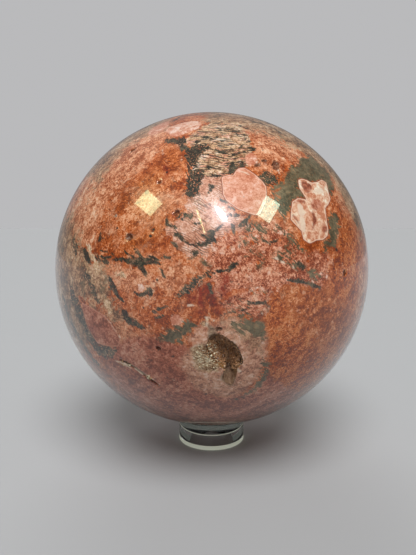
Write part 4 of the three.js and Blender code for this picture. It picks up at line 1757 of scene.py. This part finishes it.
    def lay_grains(self, painter: RockPainter) -> None:
        """Dark and pale grains all over, and thin dark threads in some places.

        Args:
            painter: the stone's painter.
        """
        g = painter.g
        grains = g.cloud(painter.place, self.grains)
        painter.cover(g.step(grains, *self.pepper_levels, 0.0, self.pepper_share), self.pepper)
        painter.cover(g.step(grains, *self.salt_levels, 0.0, self.salt_share), self.salt)
        off_middle = g.math("ABSOLUTE", g.math("SUBTRACT", g.cloud(painter.place, self.threads), 0.5))
        thread = g.step(off_middle, *self.thread_width, 1.0, 0.0)
        share = g.math("MULTIPLY", thread, g.step(painter.broad, *self.thread_places))
        painter.cover(share, self.pepper, self.thread_share)

    def breccia(self, painter: RockPainter) -> Socket:
        """Red strands with pink and orange grains in them, and some olive between them.

        Args:
            painter: the stone's painter.

        Returns:
            The breccia's colour.
        """
        g = painter.g
        clasts = g.cells(g.wandering(painter.place, *self.clast_wander), self.clast_scale)
        hue, share, _ = g.channels(clasts.outputs["Color"])
        edge = g.math("MULTIPLY_ADD", share, self.clast_spread, clasts.outputs["Distance"])
        clast = g.step(edge, *self.clast_edge, 1.0, 0.0)
        pink = g.math("MULTIPLY", clast, g.step(hue, *self.pink_clasts))
        orange = g.math("MULTIPLY", clast, g.step(hue, *self.orange_clasts))
        colour = g.mix(pink, painter.rock(RED_ROCK), painter.rock(PINK_ROCK))
        colour = g.mix(orange, colour, painter.rock(FLAME_ROCK))
        strands = g.step(painter.frayed, *self.gap_strands)
        gaps = g.math("MULTIPLY", strands, g.step(painter.broad, *self.gap_places))
        return g.mix(gaps, colour, painter.rock(OLIVE_ROCK))

    def lay_veins(self, painter: RockPainter) -> None:
        """The grey and olive matrix with specks of the rock beside it, and the orange flames.

        Args:
            painter: the stone's painter.
        """
        g = painter.g
        specks = g.step(g.cloud(painter.place, self.specks), *self.speck_levels, 0.0, self.speck_share)
        matrix = g.mix(specks, painter.rock(MATRIX_ROCK), painter.rock(PEACH))
        few = g.math("MULTIPLY", specks, self.olive_specks)
        olive = g.mix(few, painter.rock(OLIVE_ROCK), painter.rock(BROWN_ORANGE))
        painter.cover(painter.mask(Layer.OLIVE), olive)
        painter.cover(painter.mask(Layer.VEIN, SHED_EDGE), matrix, self.shed_share)
        painter.cover(painter.mask(Layer.MATRIX), matrix)
        some = g.math("MULTIPLY", specks, self.vein_specks)
        vein = g.mix(some, painter.rock(MATRIX_ROCK), painter.rock(BROWN_ROCK))
        painter.cover(painter.mask(Layer.VEIN), vein)
        painter.lay(Layer.FLAME, FLAME_ROCK, self.flame_share)

    def lay_inclusions(self, painter: RockPainter) -> None:
        """The sharp-edged pieces: brown patch, cobble, blotch, small grains and painted glints.

        Args:
            painter: the stone's painter.
        """
        painter.lay(Layer.BROWN, BROWN_ROCK)
        painter.line_rim(Layer.BROWN, width=0.3, colour=PINK_ROCK.base, strength=0.6, reach=0.4)
        painter.cover(painter.mask(Layer.COBBLE, SHADE_EDGES[Layer.COBBLE]), self.rim_shade)
        painter.lay(Layer.COBBLE, COBBLE_ROCK)
        painter.line_rim(Layer.COBBLE, width=0.22, colour=self.rim, strength=0.75, reach=0.3)
        painter.cover(painter.mask(Layer.BLOTCH, SHADE_EDGES[Layer.BLOTCH]), self.rim_shade)
        painter.lay(Layer.BLOTCH, BLOTCH_ROCK)
        painter.lay(Layer.BLOTCH_BROWN, BLOTCH_SHADE, self.shaded_share)
        painter.line_rim(Layer.BLOTCH, width=0.3, colour=self.rim, strength=0.85, reach=0.3)
        # Pale grains, with painted glints in small pits, at the crack's ends and on the cobble's top
        painter.cover(painter.mask(Layer.PALE_AND_GLINTS), self.pale, strength=0.8)
        painter.cover(painter.mask(Layer.SPOT), self.dark)

    def lay_broken(self, painter: RockPainter) -> Socket:
        """The floors of the hollow, crack and pits, and where the stone is broken, from 0 to 1.

        Args:
            painter: the stone's painter.

        Returns:
            A share from 0 to 1.
        """
        g = painter.g
        broken = g.step(g.attribute(Layer.DEPTH.value), *self.broken_depths)
        # Painted shade: where the stone is sunk, in the pits, crack and hollow, its colour is darkened
        painter.cover(broken, g.mix(self.pit_shade, painter.colour, self.dark))
        painter.lay(Layer.CHIP, CHIP_ROCK)
        # Painted shade: the hollow's floor turns to a dark band along its upper wall
        floor = g.mix(painter.mask(Layer.WALL_SHADE), painter.rock(self.hollow_floor), self.hollow_wall_shade)
        painter.cover(g.step(g.attribute(Layer.HOLLOW.value), *self.hollow_depths), floor)
        painter.lay(Layer.TONGUE, self.hollow_tongue)
        # Painted glint: a pale line along the crack's floor
        painter.cover(painter.mask(Layer.SEAM_GLINT), self.pale)
        return broken


@dataclass(frozen=True)
class CrystalFinish:
    """The hollow's crystals: golden brown, darker ones among them, and pale ones beside it.

    Each span is where one value starts to show and where it shows in full.
    """

    deep: Colour = srgb(120, 86, 60)
    brown: Colour = srgb(168, 122, 86)
    golden: Colour = srgb(196, 150, 108)
    pale: Colour = srgb(242, 232, 200)
    roughness: float = 0.28
    cloud_scale: float = 500.0
    cloud_share: float = 0.6
    tone_share: float = 0.7
    brown_shades: Span = (0.35, 0.6)
    golden_shades: Span = (0.65, 0.95)

    def build(self) -> bpy.types.Material:
        """Makes the material, coloured by each crystal's own tone and paleness.

        Returns:
            The new material.
        """
        material, g, shader = new_material("crystal_crust")
        tone = g.math("MULTIPLY", g.attribute("tone"), self.tone_share)
        cloud = g.noise(g.place(), self.cloud_scale)
        shade = g.math("MULTIPLY_ADD", cloud, self.cloud_share, tone)
        colour = g.mix(g.step(shade, *self.brown_shades), self.deep, self.brown)
        colour = g.mix(g.step(shade, *self.golden_shades), colour, self.golden)
        colour = g.mix(g.attribute("paleness"), colour, self.pale)
        g.plug(shader["Base Color"], colour)
        roughness = g.step(cloud, 0.3, 0.7, self.roughness * 0.7, self.roughness * 1.5)
        g.plug(shader["Roughness"], roughness)
        return material


@dataclass(frozen=True)
class ClearFinish:
    """Clear acrylic, a little scuffed."""

    tint: Colour = (0.97, 0.985, 0.98)
    ior: float = 1.49
    smooth: float = 0.015
    scuffed: float = 0.06
    scuffs: Cloud = Cloud(400.0, 3.0)
    scuff_levels: Span = (0.5, 0.75)

    def build(self) -> bpy.types.Material:
        """Makes the material.

        Returns:
            The new material.
        """
        material, g, shader = new_material("clear_acrylic")
        scuffs = g.step(g.cloud(g.place(), self.scuffs), *self.scuff_levels, self.smooth, self.scuffed)
        g.plug(shader["Roughness"], scuffs)
        g.plug(shader["Base Color"], self.tint)
        g.plug(shader["IOR"], self.ior)
        g.plug(shader["Transmission Weight"], 1.0)
        return material


@dataclass(frozen=True)
class GroundPaintedGlowFinish:
    """The clear ring's frosted edges, with a painted glow, and painted shade seen from inside."""

    # The band's pale colour is also emitted as a painted glow; seen from inside the ring near its foot it is
    # a darker grey, painted shade
    colour: Colour = srgb(190, 193, 176)
    inside: Colour = srgb(116, 120, 114)
    roughness: float = 0.6
    glow: float = 0.35
    band_top: Span = (0.004, 0.003)

    def build(self) -> bpy.types.Material:
        """Makes the material.

        Returns:
            The new material.
        """
        material, g, shader = new_material("ground_acrylic_painted_glow")
        low = g.step(g.part(g.place(), "Z"), *self.band_top)
        # Painted shade: faces seen from inside the ring, below the band's top, take the darker grey
        from_inside = g.node("ShaderNodeNewGeometry").outputs["Backfacing"]
        colour = g.mix(g.math("MULTIPLY", from_inside, low), self.colour, self.inside)
        g.plug(shader["Base Color"], colour)
        # Painted glow: the band emits its own colour though it is no lamp
        g.plug(shader["Emission Color"], colour)
        g.plug(shader["Roughness"], self.roughness)
        g.plug(shader["Emission Strength"], self.glow)
        return material


@dataclass(frozen=True)
class FloorFinish:
    """The plain pale floor."""

    colour: Colour = (0.405, 0.412, 0.420)
    roughness: float = 0.8
    shine: float = 0.1

    def build(self) -> bpy.types.Material:
        """Makes the material.

        Returns:
            The new material.
        """
        material, g, shader = new_material("pale_floor")
        g.plug(shader["Base Color"], self.colour)
        g.plug(shader["Roughness"], self.roughness)
        g.plug(shader["Specular IOR Level"], self.shine)
        return material


@dataclass(frozen=True)
class Ball:
    """The stone: a fine ball carved by its hollow, crack and pits, with its patches kept on it."""

    centre: tuple[float, float, float]
    cells: int = 128
    focus: Pair = (2.0, -8.0)
    pull: float = 1.5
    rim_reach: float = 0.24
    rim_angle: float = 15.0
    rough_angle: float = 40.0
    chipped_depth: float = 0.45
    base_cap: float = 36.0
    hollow: HollowShape = HollowShape()
    crack: Crack = Crack()
    view: PhotoView = PhotoView()
    chipped: Area = LAYER_SHAPES[Layer.CHIP][0]

    def build(self, material: bpy.types.Material) -> bpy.types.Object:
        """Makes the stone.

        Args:
            material: its finish.

        Returns:
            The stone's object.
        """
        directions, quads = quad_ball(self.cells)
        directions = drawn_towards(directions, towards(*self.focus), self.pull)
        directions = self.snapped(directions)
        in_hollow = self.hollow_depth(directions)
        depth = np.maximum(in_hollow, self.small_depths(directions))
        points = directions * (BALL_RADIUS - depth)[:, None] + np.array(self.centre)
        piece = make_piece("calcite_ball", points, quads, smooth=True)
        piece.data.set_sharp_from_angle(angle=math.radians(self.rough_angle))
        fields = self.fields(directions)
        fields[Layer.HOLLOW] = in_hollow
        fields[Layer.DEPTH] = depth
        for layer, values in fields.items():
            keep_values(piece, layer.value, values)
        keep_values(piece, "lamella_place", self.lamella_places(directions))
        fasten(piece, "calcite_sphere", material)
        return piece

    def snapped(self, directions: np.ndarray) -> np.ndarray:
        """Moves the points beside the hollow's rim onto it, so that the rim is a clean line.

        Args:
            directions: unit vectors from the ball's centre, three columns.

        Returns:
            All the directions, moved or not.
        """
        chart = self.hollow.chart()
        near = directions @ chart.out > math.cos(math.radians(self.rim_angle))
        places = self.hollow.on_rim(chart.touching(directions[near]), self.rim_reach)
        moved = directions.copy()
        moved[near] = unit(chart.out * BALL_RADIUS + places[:, :1] * chart.right + places[:, 1:] * chart.up)
        return moved

    def hollow_depth(self, directions: np.ndarray) -> np.ndarray:
        """Depth of the hollow below the polish, zero outside it.

        Args:
            directions: unit vectors from the ball's centre, three columns.

        Returns:
            The depths in millimetres.
        """
        chart = self.hollow.chart()
        depth = self.hollow.depth_at(chart.touching(directions))
        return np.where(directions @ chart.out > 0.9, depth, 0.0)

    def small_depths(self, directions: np.ndarray) -> np.ndarray:
        """Depth of the pits, the crack and the chipped place beside the hollow.

        Args:
            directions: unit vectors from the ball's centre, three columns.

        Returns:
            The depths in millimetres.
        """
        depth = self.crack.depth_at(directions)
        for pit in PITS:
            depth = np.maximum(depth, pit.depth_at(directions))
        inside = self.chipped.field(directions, np.array(self.centre), self.view)
        x, y = self.hollow.chart().flatten(directions).T
        lumps = 0.6 + 0.4 * np.sin(3.1 * x + 1.7 * np.sin(2.3 * y)) * np.sin(2.7 * y + 1.1)
        return np.maximum(depth, self.chipped_depth * lumps * smooth_step(inside, 0.0, 1.2))

    def fields(self, directions: np.ndarray) -> dict[Layer, np.ndarray]:
        """Each layer's signed distance, with turned copies of it on the sides that are not seen.

        Args:
            directions: unit vectors from the ball's centre, three columns.

        Returns:
            For each layer, its field at each direction.
        """
        centre = np.array(self.centre)
        facing = self.view.facing(directions, centre)
        bearing = np.arctan2(directions[:, 2], directions[:, 0])
        waver = 3.0 * np.sin(5 * bearing) + 2.0 * np.sin(13 * bearing + 1) - 5.0
        beyond = np.radians(facing - SEEN_ANGLE) * BALL_RADIUS + waver
        unseen = beyond > -FIELD_LIMIT
        fields = {}
        for layer, shapes in LAYER_SHAPES.items():
            values = self.highest(shapes, directions, centre)
            for turn in () if layer in SINGLE_LAYERS else UNSEEN_COPIES:
                copy = self.highest(shapes, directions[unseen] @ turn, centre)
                values[unseen] = np.maximum(values[unseen], np.minimum(copy, beyond[unseen]))
            fields[layer] = values
        from_bottom = np.arccos(np.clip(-directions[:, 2], -1, 1))
        cap = (math.radians(self.base_cap) - from_bottom) * BALL_RADIUS
        fields[Layer.SALMON] = np.maximum(fields[Layer.SALMON], np.clip(cap, -FIELD_LIMIT, FIELD_LIMIT))
        return fields

    def highest(self, shapes: tuple, directions: np.ndarray, centre: np.ndarray) -> np.ndarray:
        """The highest of some shapes' fields at each direction.

        Args:
            shapes: areas and lines.
            directions: unit vectors from the ball's centre, three columns.
            centre: the ball's centre, in millimetres.

        Returns:
            The highest field.
        """
        values = np.full(len(directions), -FIELD_LIMIT)
        for shape in shapes:
            values = np.maximum(values, shape.field(directions, centre, self.view))
        return values

    def lamella_places(self, directions: np.ndarray) -> np.ndarray:
        """Millimetres along and across the lamellae, bent by two waves, from the nearest area's run.

        Args:
            directions: unit vectors from the ball's centre, three columns.

        Returns:
            Along, across and the area's tilt, three columns.
        """
        centre = np.array(self.centre)
        best = np.full(len(directions), -np.inf)
        places = np.zeros((len(directions), 3))
        for turn in (np.eye(3), *UNSEEN_COPIES):
            seen_from = directions @ turn
            for area, tilt in zip(LAYER_SHAPES[Layer.LAMELLAR], LAMELLAR_TILTS):
                chart = Chart(self.view.on_ball(np.array(area.points), centre).mean(axis=0))
                height = seen_from @ chart.out
                x, y = chart.flatten(seen_from).T
                t = math.radians(tilt)
                along = x * math.cos(t) + y * math.sin(t)
                across = y * math.cos(t) - x * math.sin(t)
                across = across + 1.2 * np.sin(along / 7) + 0.6 * np.sin(along / 3.1 + 1)
                closer = height > best
                best = np.maximum(best, height)
                places[closer] = np.stack([along, across, np.full(len(along), tilt)], axis=1)[closer]
        return places


@dataclass(frozen=True)
class HollowCrust:
    """The crystals that line the hollow, and the pale ones beside it and at the crack's ends."""

    ball: Ball
    lining: int = 1500
    chipped: int = 150
    crack_ends: int = 26
    widths: Span = (0.26, 0.55)
    shafts: Span = (0.15, 0.4)
    tips: Span = (0.15, 0.42)
    pale_scale: float = 0.55
    pale_room: float = 0.3
    pale_inset: float = 0.15
    pale_upright: float = 0.5
    pale_scatter: float = 0.7
    pale_tones: tuple[float, ...] = (1.0, 0.8, 0.4, 0.1)
    rooted: float = 0.35
    below_polish: float = 0.25
    rim_share: float = 0.985
    slope_step: float = 0.15
    upright: float = 0.8
    inward: float = 0.4
    aim_height: float = 4.0
    scatter: float = 0.22
    least_size: float = 0.45
    size_by_room: float = 0.3
    least_room: float = 0.12
    pale_chance: float = 0.03
    pale_level: float = 0.7
    chipped_root: float = 0.35
    glint_root: float = 0.05
    seed: int = 11
    bare: tuple[Area, ...] = LAYER_SHAPES[Layer.TONGUE]
    crack_glints: tuple[Area, ...] = (
        Area(((116, 362), (124, 359.5), (133, 364.5), (131, 367.5), (122, 366))),
        Area(((145, 375), (149, 374.5), (153, 378), (150, 380.5), (146.5, 378.5))),
    )

    def build(self, material: bpy.types.Material) -> bpy.types.Object:
        """Makes the crust.

        Args:
            material: its finish.

        Returns:
            The crust's object.
        """
        random = np.random.default_rng(self.seed)
        roots, axes, rooms, sizes, paleness = (np.concatenate(rows) for rows in zip(
            self.in_hollow(random),
            self.on_area(random, self.ball.chipped, self.chipped, self.chipped_root),
            *(self.on_area(random, area, self.crack_ends, self.glint_root) for area in self.crack_glints),
        ))
        points, faces = self.crystals(random, roots, axes, rooms, sizes)
        piece = make_piece("vug_crystal_crust", points + np.array(self.ball.centre), faces, smooth=False)
        corners = len(points) // len(roots)
        keep_values(piece, "tone", np.repeat(random.random(len(roots)), corners))
        keep_values(piece, "paleness", np.repeat(paleness, corners))
        fasten(piece, "vug_crystals", material)
        return piece

    def floor_point(self, places: np.ndarray) -> np.ndarray:
        """Points on the hollow's floor above some places of the touching plane.

        Args:
            places: places of the touching plane, two columns.

        Returns:
            The points, from the ball's centre.
        """
        hollow = self.ball.hollow
        chart = hollow.chart()
        ray = unit(chart.out * BALL_RADIUS + places[:, :1] * chart.right + places[:, 1:] * chart.up)
        return ray * (BALL_RADIUS - hollow.depth_at(places))[:, None]

    def in_hollow(self, random: np.random.Generator) -> tuple[np.ndarray, ...]:
        """Roots, axes, room, sizes and paleness of the crystals on the hollow's floor and walls.

        Args:
            random: the source of random numbers.

        Returns:
            Five arrays.
        """
        hollow = self.ball.hollow
        rim = np.array(hollow.rim)
        spots = random.uniform(rim.min(axis=0), rim.max(axis=0), (self.lining * 4, 2))
        _, distance, reach = hollow.polar(spots)
        spots = spots[distance < reach * self.rim_share][: self.lining]
        centre = np.array(self.ball.centre)
        bare = self.ball.highest(self.bare, unit(self.floor_point(spots)), centre) > 0
        spots = spots[~bare]
        roots = self.floor_point(spots)
        right = self.floor_point(spots + [self.slope_step, 0]) - roots
        up = self.floor_point(spots + [0, self.slope_step]) - roots
        normal = unit(np.cross(right, up))
        inward = hollow.chart().out * (BALL_RADIUS + self.aim_height) - roots
        scatter = random.normal(0, self.scatter, normal.shape)
        axes = unit(self.upright * normal + self.inward * unit(inward) + scatter)
        rooms = np.maximum(hollow.depth_at(spots) - self.below_polish, self.least_room)
        sizes = np.minimum(1.0, self.least_size + rooms * self.size_by_room)
        paleness = np.where(random.random(len(spots)) < self.pale_chance, self.pale_level, 0.0)
        return roots, axes, rooms, sizes, paleness

    def on_area(self, random: np.random.Generator, area: Area, count: int, depth: float) -> tuple:
        """Roots, axes, room, sizes and paleness of pale crystals lying in a shallow place.

        Args:
            random: the source of random numbers.
            area: where they lie.
            count: how many there are at most.
            depth: how deep they are rooted, in millimetres.

        Returns:
            Five arrays.
        """
        centre = np.array(self.ball.centre)
        corners = self.ball.view.on_ball(np.array(area.points), centre)
        chart = Chart(corners.mean(axis=0))
        outline = chart.flatten(corners)
        spots = random.uniform(outline.min(axis=0), outline.max(axis=0), (count * 5, 2))
        spots = spots[area_field(spots, outline) > self.pale_inset][:count]
        out = unit(chart.out * BALL_RADIUS + spots[:, :1] * chart.right + spots[:, 1:] * chart.up)
        axes = unit(self.pale_upright * out + random.normal(0, self.pale_scatter, out.shape))
        roots = out * (BALL_RADIUS - depth)
        count = len(spots)
        sizes = random.uniform(0.5, 1.0, count) * self.pale_scale
        rooms = np.full(count, self.pale_room)
        return roots, axes, rooms, sizes, random.choice(self.pale_tones, count)

    def crystals(self, random: np.random.Generator, roots: np.ndarray, axes: np.ndarray,
                 rooms: np.ndarray, sizes: np.ndarray) -> tuple[np.ndarray, np.ndarray]:
        """Six-sided pointed crystals: a foot in the rock, a shoulder and an off-centre tip.

        Args:
            random: the source of random numbers.
            roots: where each stands, from the ball's centre.
            axes: where each points.
            rooms: how far each may reach outwards.
            sizes: how large each is, as a share of full size.

        Returns:
            The points and the triangles of all the crystals.
        """
        count = len(roots)
        width, shaft, tip = (random.uniform(*span, count) * sizes
                             for span in (self.widths, self.shafts, self.tips))
        rise = np.maximum((axes * unit(roots)).sum(axis=1), 0.2) * (shaft + tip)
        fit = np.minimum(1.0, rooms / rise)
        shaft, tip = shaft * fit, tip * fit
        side = unit(np.cross(axes, np.roll(axes, 1, axis=1) + 0.01))
        other = np.cross(axes, side)
        angles = np.arange(6) * math.pi / 3 + random.uniform(0, math.pi, (count, 1))
        squash = random.uniform(0.65, 1.0, (count, 1, 1))
        round_axis = (np.cos(angles)[..., None] * side[:, None]
                      + squash * np.sin(angles)[..., None] * other[:, None]) * width[:, None, None]
        foot = roots - axes * self.rooted
        lower = foot[:, None] + round_axis
        uneven = shaft[:, None] * (1 + 0.25 * np.sin(angles * 2))
        upper = roots[:, None] + round_axis * 0.94 + axes[:, None] * uneven[..., None]
        lean = round_axis[:, 0] * 0.25
        point = roots + axes * (shaft + tip)[:, None] + lean
        points = np.concatenate([lower, upper, point[:, None], foot[:, None]], axis=1)
        i = np.arange(6)
        j = (i + 1) % 6
        pattern = np.concatenate([
            np.stack([i, j, j + 6], axis=1),
            np.stack([i, j + 6, i + 6], axis=1),
            np.stack([i + 6, j + 6, np.full(6, 12)], axis=1),
            np.stack([j, i, np.full(6, 13)], axis=1),
        ])
        faces = (np.arange(count) * 14)[:, None, None] + pattern
        return points.reshape(-1, 3), faces.reshape(-1, 3)


@dataclass(frozen=True)
class RingStand:
    """The clear ring under the ball, with a bevelled seat and rounded edges."""

    radius: float = 14.0
    height: float = 11.0
    bore: float = 9.4
    seat: float = 12.2
    seat_depth: float = 5.8
    foot: float = 1.9
    edge: float = 0.5
    around: int = 160
    edge_steps: int = 5
    sharp_angle: float = 28.0
    seam_share: float = 0.6

    def build(self, material: bpy.types.Material, ground: bpy.types.Material) -> bpy.types.Object:
        """Makes the ring.

        Args:
            material: its finish.
            ground: the painted-glow finish of the band around its foot and of its seat's lower edge.

        Returns:
            The ring's object.
        """
        profile = self.profile()
        turn = np.arange(self.around) * 2 * math.pi / self.around
        points = np.stack([
            np.cos(turn)[:, None] * profile[:, 0],
            np.sin(turn)[:, None] * profile[:, 0],
            np.broadcast_to(profile[:, 1], (self.around, len(profile))),
        ], axis=2).reshape(-1, 3)
        rows, steps = np.arange(self.around)[:, None], np.arange(len(profile))
        after = (steps + 1) % len(profile)
        here, there = rows * len(profile), (rows + 1) % self.around * len(profile)
        faces = np.stack([here + steps, there + steps, there + after, here + after], axis=2)
        piece = make_piece("clear_ring_stand", points, faces.reshape(-1, 4), smooth=True)
        piece.data.set_sharp_from_angle(angle=math.radians(self.sharp_angle))
        fasten(piece, "ring_stand", material)
        piece.data.materials.append(ground)
        # Painted light: the band around the foot glows pale, and the seat's lower edge glows as a thin
        # painted highlight
        middle = (profile + profile[after]) / 2
        foot = (middle[:, 0] > self.radius - self.edge) & (middle[:, 1] < self.foot)
        seat_end = np.array([self.bore, self.height - self.seat_depth])
        seam = np.linalg.norm(middle - seat_end, axis=1) < self.edge * self.seam_share
        ground_rows = np.tile(foot | seam, self.around).astype(np.int32)
        piece.data.polygons.foreach_set("material_index", ground_rows)
        return piece

    def profile(self) -> np.ndarray:
        """The ring's section, anticlockwise: radius and height, each corner an arc, and the foot's top.

        Returns:
            The section's points, two columns.
        """
        corners = np.array([
            (self.bore, 0.0), (self.radius, 0.0), (self.radius, self.height),
            (self.seat, self.height), (self.bore, self.height - self.seat_depth),
        ])
        before = unit(np.roll(corners, 1, axis=0) - corners)
        after = unit(np.roll(corners, -1, axis=0) - corners)
        t = np.linspace(0, 1, self.edge_steps)[None, :, None]
        start, end = corners + before * self.edge, corners + after * self.edge
        curve = (1 - t)**2 * start[:, None] + 2 * t * (1 - t) * corners[:, None] + t**2 * end[:, None]
        return np.insert(curve.reshape(-1, 2), 2 * self.edge_steps, (self.radius, self.foot), axis=0)


@dataclass(frozen=True)
class Lamp:
    """A lamp that only shows where a glossy surface mirrors it: the ball does at one pixel."""

    name: str
    pixel: tuple[float, float]
    distance: float
    size: tuple[float, float]
    power: float
    colour: Colour
    turn: float = 0.0
    shape: str = "RECTANGLE"

    def build(self, centre: np.ndarray, view: PhotoView) -> None:
        """Makes the lamp where the line of sight goes after the ball has mirrored it.

        Args:
            centre: the ball's centre, in millimetres.
            view: the photograph's camera.
        """
        normal = view.on_ball(np.array([self.pixel]), centre)[0]
        spot = centre + normal * BALL_RADIUS
        sight = unit(spot - np.array(view.place))
        away = sight - 2 * (sight @ normal) * normal
        data = bpy.data.lights.new(self.name, "AREA")
        data.shape = self.shape
        data.size, data.size_y = self.size
        data.energy = self.power
        data.color = self.colour
        light = bpy.data.objects.new(self.name, data)
        spin = Quaternion((0, 0, 1), math.radians(self.turn))
        light.rotation_mode = "QUATERNION"
        light.rotation_quaternion = Vector(-away).to_track_quat("-Z", "Y") @ spin
        light.location = Vector(spot * MM + away * self.distance)
        light.visible_camera = False
        light.visible_diffuse = False
        bpy.context.scene.collection.objects.link(light)


@dataclass(frozen=True)
class Sun:
    """A wide soft light from far away, that glossy surfaces don't mirror."""

    name: str
    azimuth: float
    elevation: float
    strength: float
    angle: float = 40.0

    def build(self) -> None:
        """Makes the light."""
        data = bpy.data.lights.new(self.name, "SUN")
        data.energy = self.strength
        data.angle = math.radians(self.angle)
        light = bpy.data.objects.new(self.name, data)
        light.rotation_mode = "QUATERNION"
        aim = Vector(-towards(self.azimuth, self.elevation))
        light.rotation_quaternion = aim.to_track_quat("-Z", "Y")
        light.visible_glossy = False
        bpy.context.scene.collection.objects.link(light)


@dataclass(frozen=True)
class Studio:
    """The plain pale floor, the light around it and the lamps."""

    centre: tuple[float, float, float]
    view: PhotoView = PhotoView()
    floor_half: float = 60.0
    backdrop: Colour = (0.49, 0.49, 0.50)
    from_above: Colour = (0.26, 0.26, 0.265)
    from_below: Colour = (0.20, 0.20, 0.21)
    side_share: Colour = (0.50, 0.50, 0.43)
    horizon: Colour = (0.29, 0.29, 0.285)
    level: Span = (-0.1, 0.1)
    left_side: Span = (-0.5, -0.9)
    right_side: Span = (-0.5, 0.9)
    horizon_top: Span = (0.2, 0.0)
    suns: tuple[Sun, ...] = (
        Sun("front_sun", 5.0, 58.0, 3.1),
        Sun("back_sun", 190.0, 35.0, 1.0),
    )
    lamps: tuple[Lamp, ...] = (
        Lamp("key_lamp", (221.3, 213.8), 1.0, (0.065, 0.22), 4.5, (1.0, 0.96, 0.98), 29, "ELLIPSE"),
        Lamp("key_glow", (221.3, 213.8), 1.02, (0.16, 0.34), 0.5, (1.0, 0.92, 1.0), 29, "ELLIPSE"),
        Lamp("key_halo", (221.3, 213.8), 1.04, (0.34, 0.44), 0.34, (1.0, 0.9, 1.0), 29, "ELLIPSE"),
        Lamp("left_panel", (148.4, 202.8), 0.8, (0.15, 0.24), 1.12, (0.85, 1.0, 0.55), -106),
        Lamp("right_panel", (268.3, 209.1), 0.8, (0.138, 0.236), 1.3, (0.72, 1.0, 0.75), -53),
        Lamp("thin_lamp", (200.6, 221), 0.8, (0.012, 0.254), 0.16, (1.0, 0.85, 0.4), 22),
    )

    def build(self, material: bpy.types.Material) -> None:
        """Makes the floor, the world's light and the lamps.

        Args:
            material: the floor's finish.
        """
        half = self.floor_half / MM
        corners = np.array([(-half, -half, 0), (half, -half, 0), (half, half, 0), (-half, half, 0)])
        floor = make_piece("studio_floor", corners, np.array([[0, 1, 2, 3]]), smooth=False)
        floor.data.materials.append(material)
        floor.visible_diffuse = False
        world = bpy.data.worlds.new("studio_light")
        world.use_nodes = True
        g = Graph(world.node_tree)
        way = g.node("ShaderNodeTexCoord").outputs["Generated"]
        upwards, sideways = g.part(way, "Z"), g.part(way, "X")
        light = g.mix(g.step(upwards, *self.level), self.from_below, self.from_above)
        dimmed = g.mix(1.0, light, self.side_share, "MULTIPLY")
        left, right = g.step(sideways, *self.left_side), g.step(sideways, *self.right_side)
        light = g.mix(g.math("MAXIMUM", left, right), light, dimmed)
        light = g.mix(g.step(upwards, *self.horizon_top), light, self.horizon)
        direct = g.node("ShaderNodeLightPath").outputs["Is Camera Ray"]
        g.plug(world.node_tree.nodes["Background"].inputs["Color"], g.mix(direct, light, self.backdrop))
        bpy.context.scene.world = world
        bpy.context.scene.view_settings.view_transform = "Standard"
        for lamp in self.lamps:
            lamp.build(np.array(self.centre), self.view)
        for sun in self.suns:
            sun.build()


def main() -> None:
    """Builds the camera, the pieces and the studio, in that order."""
    logging.basicConfig(level=logging.INFO, format="%(name)s: %(message)s")
    low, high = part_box("calcite_sphere")
    centre = tuple(float(x) / MM for x in (low + high) / 2)
    log.info("ball's centre at %.3f %.3f %.3f mm", *centre)
    PhotoView().build()
    groups = Groups()
    ball = Ball(centre)
    ball.build(StoneFinish().build(groups))
    HollowCrust(ball).build(CrystalFinish().build())
    RingStand().build(ClearFinish().build(), GroundPaintedGlowFinish().build())
    Studio(centre).build(FloorFinish().build())


if __name__ == "__main__":
    main()
